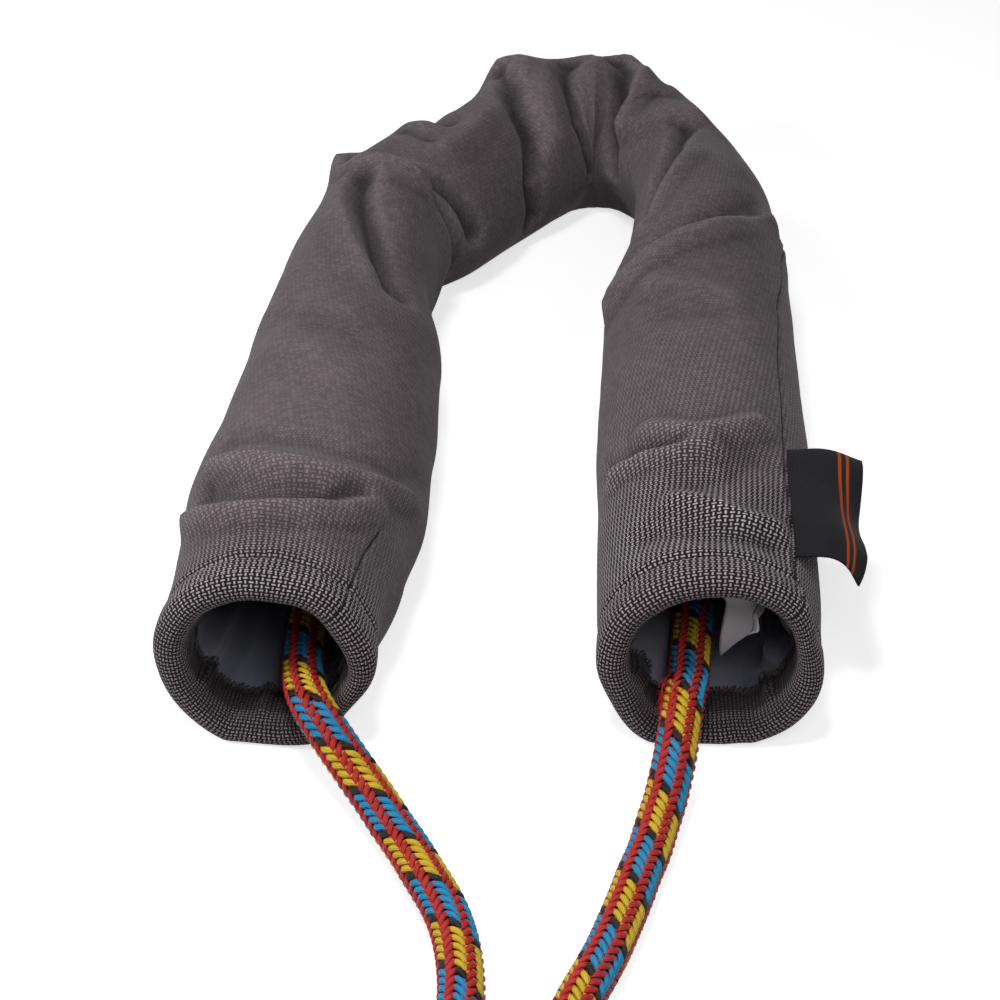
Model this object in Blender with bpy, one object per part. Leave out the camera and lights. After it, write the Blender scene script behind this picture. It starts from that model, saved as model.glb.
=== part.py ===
"""Padded rope protector sleeve, laid in a U on a table, with a rope run through it.

Metres, +Z up. The table is z = 0, both mouths face -Y and the closed end of the U is at +Y.
The origin is on the table, below the middle of the sleeve and its side label.

Every layer of the sleeve is cut from one curved coordinate grid. A place on it has a distance
along the sleeve from the left mouth, an angle round it (0 on the inner side of the U, a quarter
turn on top) and a depth below the outside of the cover.
"""

import math

import bmesh
import bpy
from mathutils import Matrix, Vector

# Run of the sleeve, seen from above
LEG_SPREAD = 0.1180
U_REACH = 0.3160
MOUTHS_ASIDE = 0.0076
MOUTHS_AHEAD = 0.1706

# Outside of the sleeve, and how much of it the table flattens
HALF_WIDTH = 0.0305
HALF_HEIGHT = 0.0291
TABLE_FLAT = 0.0024

# Layers and the room between them
COVER_CLOTH = 0.0010
PADDING = 0.0042
LINING_CLOTH = 0.0006
CLEARANCE = 0.0003

# Turned hems at the mouths
HEM_TURN = 0.0150
HEM_STITCH = 0.0125
STITCH_SPREAD = 0.0025
STITCH_DIP = 0.0013
STITCH_THREAD = 0.0007
EDGE_OVERLOCK = 0.0006

# Long seam
SEAM_GAP = 0.0003
SEAM_ALLOWANCE = 0.0030
SEAM_OVERLOCK = 0.0007
PADDING_SETBACK = 0.0007
LINING_SEAM = 0.0005

# Labels
SIDE_LABEL_LENGTH = 0.0530
SIDE_LABEL_REACH = 0.0220
SIDE_LABEL_SETBACK = 0.0232
SIDE_LABEL_CLOTH = 0.0005
CARE_LABEL_WIDTH = 0.0120
CARE_LABEL_SETBACK = 0.0030
CARE_LABEL_CLOTH = 0.0004

# Rope
ROPE = 0.0120
ROPE_TABLE_GAP = 0.0002
ROPE_POINT_STEP = 0.0120
ROPE_SQUARE_END = 0.0012
END_SLEEVE_LENGTH = 0.0220

# Middle line of the sleeve: across as shares of LEG_SPREAD, along as shares of U_REACH
PATH_SHARES = (
    (-0.510, -0.008),
    (-0.474, 0.115),
    (-0.446, 0.235),
    (-0.412, 0.355),
    (-0.388, 0.475),
    (-0.370, 0.590),
    (-0.333, 0.698),
    (-0.245, 0.800),
    (-0.112, 0.878),
    (0.030, 0.948),
    (0.175, 1.003),
    (0.320, 1.018),
    (0.452, 0.996),
    (0.547, 0.934),
    (0.598, 0.836),
    (0.588, 0.710),
    (0.564, 0.592),
    (0.547, 0.480),
    (0.533, 0.368),
    (0.522, 0.253),
    (0.508, 0.127),
    (0.496, -0.008),
)

# Size of the sleeve's section along it: share of the length, then shares of HALF_WIDTH and
# of HALF_HEIGHT. It is pinched where the U turns
SECTION_SHARES = (
    (0.00, 0.97, 1.00),
    (0.03, 0.98, 1.00),
    (0.07, 1.04, 0.99),
    (0.11, 1.13, 0.96),
    (0.16, 1.06, 0.98),
    (0.22, 0.99, 1.00),
    (0.28, 0.86, 1.03),
    (0.33, 0.79, 1.02),
    (0.38, 0.92, 0.96),
    (0.43, 0.88, 0.92),
    (0.47, 0.86, 0.97),
    (0.52, 0.84, 0.96),
    (0.56, 0.76, 0.92),
    (0.60, 0.72, 0.90),
    (0.65, 0.84, 0.98),
    (0.70, 0.96, 1.01),
    (0.75, 0.99, 1.00),
    (0.80, 1.00, 1.00),
    (0.87, 1.02, 0.99),
    (0.94, 1.00, 1.00),
    (1.00, 1.00, 1.00),
)

# Where the long seam lies round the sleeve: share of the length, angle in degrees
SEAM_TURNS = (
    (0.000, 44.0),
    (0.035, 41.0),
    (0.075, 36.0),
    (0.110, 16.0),
    (0.160, -20.0),
    (0.250, -66.0),
    (0.400, -112.0),
    (0.550, -158.0),
    (0.650, -188.0),
    (0.720, -208.0),
    (0.770, -219.0),
    (0.830, -224.0),
    (0.880, -226.0),
    (0.980, -226.0),
    (1.000, -223.0),
)

# Main folds of the cover: height as a share of PADDING, width as a share of HALF_WIDTH, and the
# line of each, as share of the length and angle in degrees
FOLDS = (
    (0.45, 0.22, ((0.086, 170), (0.056, 100), (0.062, 70), (0.092, 42), (0.116, 8))),
    (-0.45, 0.26, ((0.100, 150), (0.074, 100), (0.078, 66))),
    (0.30, 0.24, ((0.124, 140), (0.094, 102), (0.088, 62), (0.104, 34))),
    (-0.80, 0.26, ((0.320, 104), (0.286, 82), (0.246, 52))),
    (0.80, 0.24, ((0.378, 156), (0.358, 92), (0.342, 56), (0.315, 24))),
    (-0.80, 0.26, ((0.400, 150), (0.384, 92), (0.350, 26), (0.346, -10))),
    (0.60, 0.26, ((0.424, 150), (0.410, 92), (0.392, 40))),
    (-0.90, 0.26, ((0.462, 150), (0.452, 80), (0.432, 40), (0.425, -10))),
    (0.50, 0.24, ((0.482, 150), (0.476, 90), (0.470, 40))),
    (-0.60, 0.22, ((0.506, 120), (0.506, 70), (0.530, 24))),
    (0.45, 0.22, ((0.526, 150), (0.524, 90), (0.535, 50))),
    (-0.60, 0.22, ((0.552, 130), (0.556, 74), (0.590, 20))),
    (-0.90, 0.24, ((0.600, 120), (0.622, 84), (0.660, 50), (0.676, 20))),
    (0.45, 0.22, ((0.590, 160), (0.600, 90), (0.625, 50))),
    (0.60, 0.24, ((0.651, 150), (0.690, 112), (0.722, 78), (0.712, 20))),
    (-0.80, 0.20, ((0.648, 128), (0.672, 110), (0.700, 76))),
    (0.25, 0.20, ((0.889, 100), (0.894, 80), (0.880, 20))),
    (-0.25, 0.20, ((0.912, 96), (0.916, 66))),
    (0.25, 0.20, ((0.946, 102), (0.948, 80), (0.936, 50))),
)

# Rings of the grid between the hems, as shares of the length: closer where the sleeve folds
RING_SHARES = (
    (0.044, 0.058, 0.074, 0.090, 0.106, 0.120, 0.136, 0.154, 0.172, 0.190, 0.210)
    + (0.236, 0.262, 0.284, 0.306, 0.328, 0.350, 0.372, 0.394)
    + (0.416, 0.438, 0.460, 0.482, 0.504, 0.526, 0.550, 0.575)
    + (0.600, 0.622, 0.644, 0.666, 0.688, 0.710, 0.732, 0.770)
    + (0.818, 0.862, 0.888, 0.912, 0.936, 0.956)
)
WIDE_COLUMNS = 14

# Where the rope lies in the sleeve: share of the length, share of its free play towards the
# inner side of the U, and share of its free drop to the floor of the bore
ROPE_PLAY_SHARES = (
    (-0.0045, 0.90, 0.58),
    (0.006, 0.68, 0.59),
    (0.017, 0.54, 0.63),
    (0.029, 0.44, 0.71),
    (0.042, 0.36, 0.79),
    (0.065, 0.28, 1.00),
    (0.120, 0.10, 1.00),
    (0.220, -0.10, 1.00),
    (0.350, -0.36, 1.00),
    (0.500, -0.42, 1.00),
    (0.650, -0.36, 1.00),
    (0.780, -0.10, 1.00),
    (0.880, 0.06, 1.00),
    (0.935, 0.18, 1.00),
    (0.957, 0.25, 0.80),
    (0.971, 0.30, 0.74),
    (0.985, 0.34, 0.70),
    (0.996, 0.42, 0.69),
    (1.009, 0.49, 0.77),
)
ROPE_ON_FLOOR_SHARES = (0.065, 0.935)

# Routes of the rope's free tails from the mouths to the ends: across as shares of LEG_SPREAD,
# along as shares of U_REACH, and height over where it lies on the table as shares of ROPE
LEFT_TAIL_SHARES = (
    (-0.347, -0.050, 0.73),
    (-0.290, -0.082, 0.44),
    (-0.250, -0.104, 0.23),
    (-0.212, -0.129, 0.09),
    (-0.173, -0.156, 0.02),
    (-0.139, -0.184, 0.0),
    (-0.105, -0.213, 0.0),
    (-0.080, -0.241, 0.0),
    (-0.065, -0.269, 0.0),
    (-0.058, -0.296, 0.0),
    (-0.057, -0.322, 0.0),
    (-0.066, -0.354, 0.0),
    (-0.093, -0.392, 0.0),
    (-0.144, -0.428, 0.0),
    (-0.220, -0.460, 0.0),
    (-0.318, -0.484, 0.0),
    (-0.428, -0.498, 0.0),
    (-0.542, -0.503, 0.0),
    (-0.657, -0.503, 0.0),
)
RIGHT_TAIL_SHARES = (
    (0.410, -0.056, 0.53),
    (0.397, -0.078, 0.34),
    (0.381, -0.102, 0.17),
    (0.361, -0.127, 0.06),
    (0.341, -0.155, 0.0),
    (0.315, -0.184, 0.0),
    (0.292, -0.213, 0.0),
    (0.267, -0.241, 0.0),
    (0.241, -0.269, 0.0),
    (0.211, -0.296, 0.0),
    (0.180, -0.322, 0.0),
    (0.151, -0.354, 0.0),
    (0.140, -0.392, 0.0),
    (0.157, -0.430, 0.0),
    (0.208, -0.463, 0.0),
    (0.288, -0.487, 0.0),
    (0.390, -0.501, 0.0),
    (0.500, -0.506, 0.0),
    (0.614, -0.507, 0.0),
    (0.725, -0.506, 0.0),
)

# Tilt of the side label's free edge from level along its root, in degrees, and its extra curl
SIDE_LABEL_TILTS = ((0.0, -12.0), (0.35, -19.0), (0.7, -15.0), (1.0, -25.0))
SIDE_LABEL_CURL = 10.0
SIDE_LABEL_ROWS = 6
SIDE_LABEL_STEPS = 4

# The care label hangs from the lining behind the right facing, beside the rope: its place across
# the bore and its drop are shares of the bore's half width and height
CARE_LABEL_ACROSS_SHARE = -0.36
CARE_LABEL_DROP_SHARE = 0.62
CARE_LABEL_TURN = 20.0
CARE_LABEL_BEND_SHARE = 0.16
CARE_LABEL_ROWS = 5
CARE_LABEL_COLUMNS = 3

# Steps of the curves from point to point, and how near a curve's heading is read
PATH_STEPS = 12
ROPE_STEPS = 6
HEADING_SHARE = 0.006

# Depths below the outside of the cover, worked out from the layers
PADDING_TOP = COVER_CLOTH + CLEARANCE
PADDING_FOOT = PADDING_TOP + PADDING
LINING_TOP = PADDING_FOOT + CLEARANCE
LINING_FOOT = LINING_TOP + LINING_CLOTH
FACING_TOP = LINING_FOOT + CLEARANCE
WALL = FACING_TOP + COVER_CLOTH
HALF_WALL = WALL / 2
ALLOWANCE_TIP = COVER_CLOTH + SEAM_ALLOWANCE


def smooth_run(points, steps):
    """Points of a smooth curve through the given ones (Catmull-Rom), steps to a span."""
    points = [Vector(point) for point in points]
    points = [2 * points[0] - points[1]] + points + [2 * points[-1] - points[-2]]
    run = []
    for before, start, stop, after in zip(points, points[1:], points[2:], points[3:]):
        for step in range(steps):
            t = step / steps
            run.append(
                0.5
                * (
                    2 * start
                    + (stop - before) * t
                    + (2 * before - 5 * start + 4 * stop - after) * t**2
                    + (3 * start - before - 3 * stop + after) * t**3
                )
            )
    run.append(points[-2])
    return run


def lookup(table, share, column=1):
    """A column's value at a share, the table's first column, in smooth steps between rows."""
    if share <= table[0][0]:
        return table[0][column]
    for row, following in zip(table, table[1:]):
        if share <= following[0]:
            t = (share - row[0]) / (following[0] - row[0])
            return row[column] + (following[column] - row[column]) * t * t * (3 - 2 * t)
    return table[-1][column]


class Run:
    """A curve with its length, read by distance along it."""

    def __init__(self, points):
        self.points = points
        self.marks = [0.0]
        for first, second in zip(points, points[1:]):
            self.marks.append(self.marks[-1] + (second - first).length)
        self.length = self.marks[-1]

    def at(self, distance):
        """Place at a distance along the curve, which is clamped to its ends."""
        distance = min(max(distance, 0.0), self.length)
        high = next(i for i, mark in enumerate(self.marks) if mark >= distance)
        high = max(high, 1)
        span = self.marks[high] - self.marks[high - 1]
        t = (distance - self.marks[high - 1]) / span
        return self.points[high - 1].lerp(self.points[high], t)

    def heading(self, distance):
        """Unit direction of travel at a distance."""
        reach = self.length * HEADING_SHARE
        ahead = self.at(distance + reach)
        behind = self.at(distance - reach)
        return (ahead - behind).normalized()


def middle_line():
    """Middle line of the sleeve on the table's plane, from the left mouth to the right one."""
    places = [
        (across * LEG_SPREAD - MOUTHS_ASIDE, along * U_REACH - MOUTHS_AHEAD, 0.0)
        for across, along in PATH_SHARES
    ]
    return Run(smooth_run(places, PATH_STEPS))


MIDDLE = middle_line()
LENGTH = MIDDLE.length


def section(distance):
    """Middle, inner side direction, half width and half height of the sleeve at a distance."""
    heading = MIDDLE.heading(distance)
    side = Vector((heading.y, -heading.x, 0.0))
    half_width = HALF_WIDTH * lookup(SECTION_SHARES, distance / LENGTH, 1)
    half_height = HALF_HEIGHT * lookup(SECTION_SHARES, distance / LENGTH, 2)
    return MIDDLE.at(distance), side, half_width, half_height


def distance_to_leg(place, start, stop):
    """Distance on the unrolled cover from a place to a straight stretch of a fold."""
    leg = (stop[0] - start[0], stop[1] - start[1])
    away = (place[0] - start[0], place[1] - start[1])
    t = (away[0] * leg[0] + away[1] * leg[1]) / (leg[0] ** 2 + leg[1] ** 2)
    t = min(max(t, 0.0), 1.0)
    return math.hypot(away[0] - t * leg[0], away[1] - t * leg[1])


def fold_height(distance, angle):
    """How far the folds lift the cover, negative in a valley."""
    turned = math.degrees(angle) + 90
    turned = turned % 360 - 90
    place = (distance, math.radians(turned) * HALF_WIDTH)
    height = 0.0
    for height_share, width_share, line in FOLDS:
        flat = [(share * LENGTH, math.radians(turn) * HALF_WIDTH) for share, turn in line]
        nearest = min(distance_to_leg(place, a, b) for a, b in zip(flat, flat[1:]))
        reach = nearest / (width_share * HALF_WIDTH)
        height += height_share * PADDING * math.exp(-reach * reach)
    return height


def stitch_dip(distance, depth):
    """How far the hem stitch draws a layer inwards. The layers of the facing go outwards."""
    away = abs(min(distance, LENGTH - distance) - HEM_STITCH)
    return STITCH_DIP * max(0.0, 1 - away / STITCH_SPREAD) * (1 - depth / HALF_WALL)


def rounded_end(distance, depth):
    """Moves a place in the last half wall before a mouth onto the round of the hem."""
    from_mouth = min(distance, LENGTH - distance)
    if from_mouth >= HALF_WALL:
        return distance, depth
    u = from_mouth / HALF_WALL - 1
    v = depth / HALF_WALL - 1
    moved = HALF_WALL * (1 + u * math.sqrt(1 - v * v / 2))
    depth = HALF_WALL * (1 + v * math.sqrt(1 - u * u / 2))
    return (moved if distance < LENGTH / 2 else LENGTH - moved), depth


def place_on_sleeve(distance, angle, depth):
    """World place of a distance along the sleeve, an angle round it and a depth in its wall."""
    sunk = stitch_dip(distance, depth)
    rise = fold_height(distance, angle) - sunk
    distance, depth = rounded_end(distance, depth)
    middle, side, half_width, half_height = section(distance)
    out = (half_width + rise - depth) * math.cos(angle)
    up = (half_height + rise - depth) * math.sin(angle)
    height = max(half_height - TABLE_FLAT + up, depth + sunk)
    return middle + side * out + Vector((0.0, 0.0, height))


def seam_angle(distance):
    """Angle of the long seam, in radians."""
    return math.radians(lookup(SEAM_TURNS, distance / LENGTH))


def hem_rings():
    """Distances of the rings in one hem, from the mouth inwards."""
    stitch = (HEM_STITCH - STITCH_SPREAD, HEM_STITCH, HEM_TURN)
    return (0.0, COVER_CLOTH, PADDING_TOP, HALF_WALL) + stitch


def rings():
    """Distances of all rings along the sleeve."""
    hem = hem_rings()
    between = tuple(share * LENGTH for share in RING_SHARES)
    return hem + between + tuple(LENGTH - distance for distance in reversed(hem))


RINGS = rings()
LIP, PADDING_END, LINING_END, STITCH, FACING_END = 1, 2, 4, 5, 6
SLOT_START = 3

# Columns round the sleeve, as angles from the seam
SLOT_EDGE = SEAM_GAP / 2 / HALF_WIDTH
ALLOWANCE_EDGE = SLOT_EDGE + COVER_CLOTH / HALF_WIDTH
PADDING_EDGE = ALLOWANCE_EDGE + PADDING_SETBACK / HALF_WIDTH


def wide_columns():
    """Columns round the sleeve from one edge of the padding to the other."""
    step = (2 * math.pi - 2 * PADDING_EDGE) / WIDE_COLUMNS
    return [PADDING_EDGE + step * i for i in range(WIDE_COLUMNS + 1)]


def cell_faces(cell):
    """The six faces of a grid cell: the neighbour behind each, and its corners in order."""
    i, j, k = cell
    corners = {
        (-1, 0, 0): ((0, 0, 0), (0, 1, 0), (0, 1, 1), (0, 0, 1)),
        (1, 0, 0): ((1, 0, 0), (1, 0, 1), (1, 1, 1), (1, 1, 0)),
        (0, -1, 0): ((0, 0, 0), (0, 0, 1), (1, 0, 1), (1, 0, 0)),
        (0, 1, 0): ((0, 1, 0), (1, 1, 0), (1, 1, 1), (0, 1, 1)),
        (0, 0, -1): ((0, 0, 0), (1, 0, 0), (1, 1, 0), (0, 1, 0)),
        (0, 0, 1): ((0, 0, 1), (0, 1, 1), (1, 1, 1), (1, 0, 1)),
    }
    for (di, dj, dk), face in corners.items():
        yield (i + di, j + dj, k + dk), [(i + a, j + b, k + c) for a, b, c in face]


def grid_solid(name, cells, place, closed_columns, material):
    """One closed solid from grid cells. A face between two cells is left out.

    closed_columns is the number of columns where they close round the sleeve, or 0.
    """

    def wrapped(key):
        i, j, k = key
        return (i, j % closed_columns, k) if closed_columns else key

    cells = {wrapped(cell) for cell in cells}
    mesh = bmesh.new()
    made = {}

    def corner(key):
        key = wrapped(key)
        if key not in made:
            made[key] = mesh.verts.new(place(*key))
        return made[key]

    for cell in sorted(cells):
        for neighbour, face in cell_faces(cell):
            if wrapped(neighbour) in cells:
                continue
            first, second, third, fourth = [corner(key) for key in face]
            mesh.faces.new((first, second, third))
            mesh.faces.new((first, third, fourth))
    bmesh.ops.recalc_face_normals(mesh, faces=mesh.faces)
    return add_mesh(name, mesh, material)


def add_mesh(name, mesh, material):
    """Puts a finished mesh in the scene under its name, shaded smooth but for its edges."""
    data = bpy.data.meshes.new(name)
    mesh.to_mesh(data)
    mesh.free()
    data.shade_smooth()
    data.set_sharp_from_angle(angle=math.radians(50))
    data.materials.append(material)
    piece = bpy.data.objects.new(name, data)
    bpy.context.scene.collection.objects.link(piece)
    return piece


def finish(name, colour, roughness, metallic=0.0):
    """A plain Principled material."""
    material = bpy.data.materials.new(name)
    material.use_nodes = True
    shader = material.node_tree.nodes["Principled BSDF"]
    shader.inputs["Base Color"].default_value = (*colour, 1.0)
    shader.inputs["Roughness"].default_value = roughness
    shader.inputs["Metallic"].default_value = metallic
    return material


def sleeve_placer(columns, depths):
    """Reads grid indices as a place on the sleeve."""

    def place(i, j, k):
        distance = RINGS[i]
        return place_on_sleeve(distance, seam_angle(distance) + columns[j], depths[k])

    return place


def build_cover(material):
    """Cover cloth: outer wall, round lip, turned-in facing and the two seam allowances."""
    wide = wide_columns()
    turn = 2 * math.pi
    columns = [SLOT_EDGE, ALLOWANCE_EDGE] + wide + [turn - ALLOWANCE_EDGE, turn - SLOT_EDGE]
    last = len(columns) - 1
    depths = sorted((0.0, COVER_CLOTH, ALLOWANCE_TIP, HALF_WALL, FACING_TOP, WALL))
    tip = depths.index(ALLOWANCE_TIP)
    end = len(RINGS) - 1
    facing = len(depths) - 2
    cells = set()
    for j in range(last + 1):
        cells |= {(i, j, k) for i in (0, end - 1) for k in range(facing + 1)}
        for i in range(LIP, end - LIP):
            in_slot = SLOT_START <= i < end - SLOT_START
            if not (in_slot and j == last):
                cells.add((i, j, 0))
            if in_slot and j in (0, last - 1):
                cells |= {(i, j, k) for k in range(1, tip)}
            if i < FACING_END or i >= end - FACING_END:
                cells.add((i, j, facing))
    place = sleeve_placer(columns, depths)
    return grid_solid("outer_cover", cells, place, len(columns), material)


def build_padding(material):
    """Foam rolled round the bore, open along the seam where the allowances lie."""
    columns = wide_columns()
    end = len(RINGS) - 1
    cells = {(i, j, 0) for i in range(PADDING_END, end - PADDING_END) for j in range(WIDE_COLUMNS)}
    place = sleeve_placer(columns, (PADDING_TOP, PADDING_FOOT))
    return grid_solid("padding", cells, place, 0, material)


def closed_ring(name, start, stop, depths, material):
    """A closed layer or ring round the sleeve between two rings of the grid."""
    columns = wide_columns()
    cells = {(i, j, 0) for i in range(start, stop) for j in range(len(columns))}
    return grid_solid(name, cells, sleeve_placer(columns, depths), len(columns), material)


def build_lining(material):
    """Smooth lining, its ends tucked under the facings."""
    end = len(RINGS) - 1
    depths = (LINING_TOP, LINING_FOOT)
    return closed_ring("lining", LINING_END, end - LINING_END, depths, material)


def build_hem_trim(thread):
    """Topstitch round each hem and overlock stitches on each facing's edge."""
    end = len(RINGS) - 1
    over_facing = (WALL + CLEARANCE, WALL + CLEARANCE + EDGE_OVERLOCK)
    closed_ring("facing_overlock_left", STITCH, FACING_END, over_facing, thread)
    closed_ring("facing_overlock_right", end - FACING_END, end - STITCH, over_facing, thread)
    build_topstitch("hem_stitch_left", HEM_STITCH, thread)
    build_topstitch("hem_stitch_right", LENGTH - HEM_STITCH, thread)


def build_topstitch(name, distance, material):
    """A ring of thread in the dip that it draws into the cover."""
    columns = wide_columns()

    def place(i, j, k):
        angle = seam_angle(distance) + columns[j]
        lift = CLEARANCE + STITCH_THREAD * k
        return place_on_sleeve(distance + STITCH_THREAD * (i - 0.5), angle, -lift)

    cells = {(0, j, 0) for j in range(len(columns))}
    grid_solid(name, cells, place, len(columns), material)


def build_seam_trim(thread):
    """Overlock stitches along the seam allowances, and the seam of the lining."""
    end = len(RINGS) - 1
    columns = (-ALLOWANCE_EDGE, ALLOWANCE_EDGE)
    over_tips = (ALLOWANCE_TIP + CLEARANCE, ALLOWANCE_TIP + CLEARANCE + SEAM_OVERLOCK)
    on_lining = (LINING_FOOT + CLEARANCE, LINING_FOOT + CLEARANCE + LINING_SEAM)
    for name, start, depths in (
        ("cover_seam_overlock", SLOT_START, over_tips),
        ("lining_seam_stitch", FACING_END + 1, on_lining),
    ):
        cells = {(i, 0, 0) for i in range(start, end - start)}
        grid_solid(name, cells, sleeve_placer(columns, depths), 0, thread)


def sheet_solid(name, rows, cloth, material):
    """A sheet of cloth of even thickness through rows of points on its middle surface."""
    across, along = len(rows[0]) - 1, len(rows) - 1

    def facing(i, j):
        down = rows[min(i + 1, along)][j] - rows[max(i - 1, 0)][j]
        over = rows[i][min(j + 1, across)] - rows[i][max(j - 1, 0)]
        return down.cross(over).normalized()

    def place(i, j, k):
        return rows[i][j] + facing(i, j) * cloth * (k - 0.5)

    cells = {(i, j, 0) for i in range(along) for j in range(across)}
    return grid_solid(name, cells, place, 0, material)


def set_origin(piece, spot):
    """Puts a moving piece's own origin on its joint's axis. Its mesh stays where it is."""
    piece.data.transform(Matrix.Translation(-spot))
    piece.location = spot


def build_side_label(material):
    """Woven flag label held by the long seam on the right leg."""
    far = LENGTH - SIDE_LABEL_SETBACK - SIDE_LABEL_LENGTH
    rows = []
    for row in range(SIDE_LABEL_ROWS + 1):
        share = row / SIDE_LABEL_ROWS
        distance = far + share * SIDE_LABEL_LENGTH
        angle = seam_angle(distance)
        _, side, _, _ = section(distance)
        outward = side * math.cos(angle) + Vector((0.0, 0.0, math.sin(angle)))
        lift = CLEARANCE + SIDE_LABEL_CLOTH
        spot = place_on_sleeve(distance, angle, 0.0) + outward * lift
        points = [spot]
        for step in range(SIDE_LABEL_STEPS):
            reach_share = (step + 0.5) / SIDE_LABEL_STEPS
            tilt = lookup(SIDE_LABEL_TILTS, share) + SIDE_LABEL_CURL * (0.5 - reach_share)
            tilt = math.radians(tilt)
            heading = -side * math.cos(tilt) + Vector((0.0, 0.0, math.sin(tilt)))
            spot = spot + heading * (SIDE_LABEL_REACH / SIDE_LABEL_STEPS)
            points.append(spot)
        rows.append(points)
    piece = sheet_solid("side_label", rows, SIDE_LABEL_CLOTH, material)
    set_origin(piece, (rows[0][0] + rows[-1][0]) / 2)


def build_care_label(material):
    """Small folded label sewn to the lining behind the edge of the right facing."""
    turn = math.radians(CARE_LABEL_TURN)
    lean = CARE_LABEL_WIDTH / 2 * math.sin(turn)
    distance = LENGTH - HEM_TURN - CARE_LABEL_SETBACK - lean
    middle, side, half_width, half_height = section(distance)
    heading = MIDDLE.heading(distance)
    width_way = side * math.cos(turn) + heading * math.sin(turn)
    bend_way = heading * math.cos(turn) - side * math.sin(turn)
    bore_width = half_width - LINING_FOOT
    bore_height = half_height - LINING_FOOT
    drop = 2 * bore_height * CARE_LABEL_DROP_SHARE
    flats = bore_height * (1 - math.cos(math.pi / WIDE_COLUMNS))
    gap = CLEARANCE + CARE_LABEL_CLOTH + flats
    rows = []
    for step in range(CARE_LABEL_ROWS + 1):
        share = step / CARE_LABEL_ROWS
        bulge = math.sin(math.pi * share) * drop * CARE_LABEL_BEND_SHARE
        row = []
        for column in range(CARE_LABEL_COLUMNS + 1):
            reach = CARE_LABEL_WIDTH * (column / CARE_LABEL_COLUMNS - 0.5)
            offset = width_way * reach
            across = CARE_LABEL_ACROSS_SHARE * bore_width + offset.dot(side)
            slope = math.sqrt(1 - (across / bore_width) ** 2)
            ceiling = half_height - TABLE_FLAT + bore_height * slope - gap
            spot = middle + side * (across - offset.dot(side)) + offset + bend_way * bulge
            foot = half_height - TABLE_FLAT + bore_height - gap - drop
            spot.z = ceiling + (foot - ceiling) * share
            row.append(spot)
        rows.append(row)
    piece = sheet_solid("care_label", rows, CARE_LABEL_CLOTH, material)
    set_origin(piece, (rows[0][0] + rows[0][-1]) / 2)


def rope_in_bore(distance):
    """Middle of the rope at a distance along the sleeve, which may be just past a mouth."""
    room = LINING_FOOT + LINING_SEAM + 2 * CLEARANCE + ROPE / 2
    inside = min(max(distance, 0.0), LENGTH)
    middle, side, half_width, half_height = section(inside)
    across = lookup(ROPE_PLAY_SHARES, distance / LENGTH, 1)
    drop = lookup(ROPE_PLAY_SHARES, distance / LENGTH, 2)
    if distance == inside:
        drop = min(drop, math.sqrt(1 - across * across))
    spot = middle + side * across * (half_width - room)
    spot += MIDDLE.heading(inside) * (distance - inside)
    spot.z = max(half_height - TABLE_FLAT - drop * (half_height - room), room)
    return spot


def rope_tail(shares):
    """Points of a free tail of the rope from its table of shares."""
    lying = ROPE / 2 + ROPE_TABLE_GAP
    return [
        Vector((x * LEG_SPREAD - MOUTHS_ASIDE, y * U_REACH - MOUTHS_AHEAD, z * ROPE + lying))
        for x, y, z in shares
    ]


def rope_run():
    """The whole rope as one curve, and the distances along it of the two mouths."""
    first, last = ROPE_ON_FLOOR_SHARES
    steps = round((last - first) * LENGTH / ROPE_POINT_STEP)
    shares = [row[0] for row in ROPE_PLAY_SHARES if not first <= row[0] <= last]
    shares += [first + (last - first) * step / steps for step in range(steps + 1)]
    inside = [rope_in_bore(share * LENGTH) for share in sorted(shares)]
    left, right = rope_tail(reversed(LEFT_TAIL_SHARES)), rope_tail(RIGHT_TAIL_SHARES)
    run = Run(smooth_run(left + inside + right, ROPE_STEPS))
    passed = []
    for distance in (0.0, LENGTH):
        mouth, heading = MIDDLE.at(distance), MIDDLE.heading(distance)
        behind = [(point - mouth).dot(heading) > 0 for point in run.points]
        passed.append([i for i in range(1, len(behind)) if behind[i] and not behind[i - 1]])
    return run, (run.marks[passed[0][0]], run.marks[passed[1][-1]])


def add_tube(name, run, start, stop, radius, step, material):
    """A round tube along a stretch of a curve, its end faces square to the curve."""
    first, last = start + ROPE_SQUARE_END, stop - ROPE_SQUARE_END
    spans = max(1, round((last - first) / step))
    between = [first + (last - first) * i / spans for i in range(spans + 1)]
    points = [run.at(distance) for distance in [start] + between + [stop]]
    curve = bpy.data.curves.new(name, "CURVE")
    curve.dimensions = "3D"
    curve.bevel_depth = radius
    curve.bevel_resolution = 2
    curve.use_fill_caps = True
    spline = curve.splines.new("POLY")
    spline.points.add(len(points) - 1)
    for point, spot in zip(spline.points, points):
        point.co = (*spot, 1.0)
    spline.use_smooth = True
    curve.materials.append(material)
    piece = bpy.data.objects.new(name, curve)
    bpy.context.scene.collection.objects.link(piece)
    return piece


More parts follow.
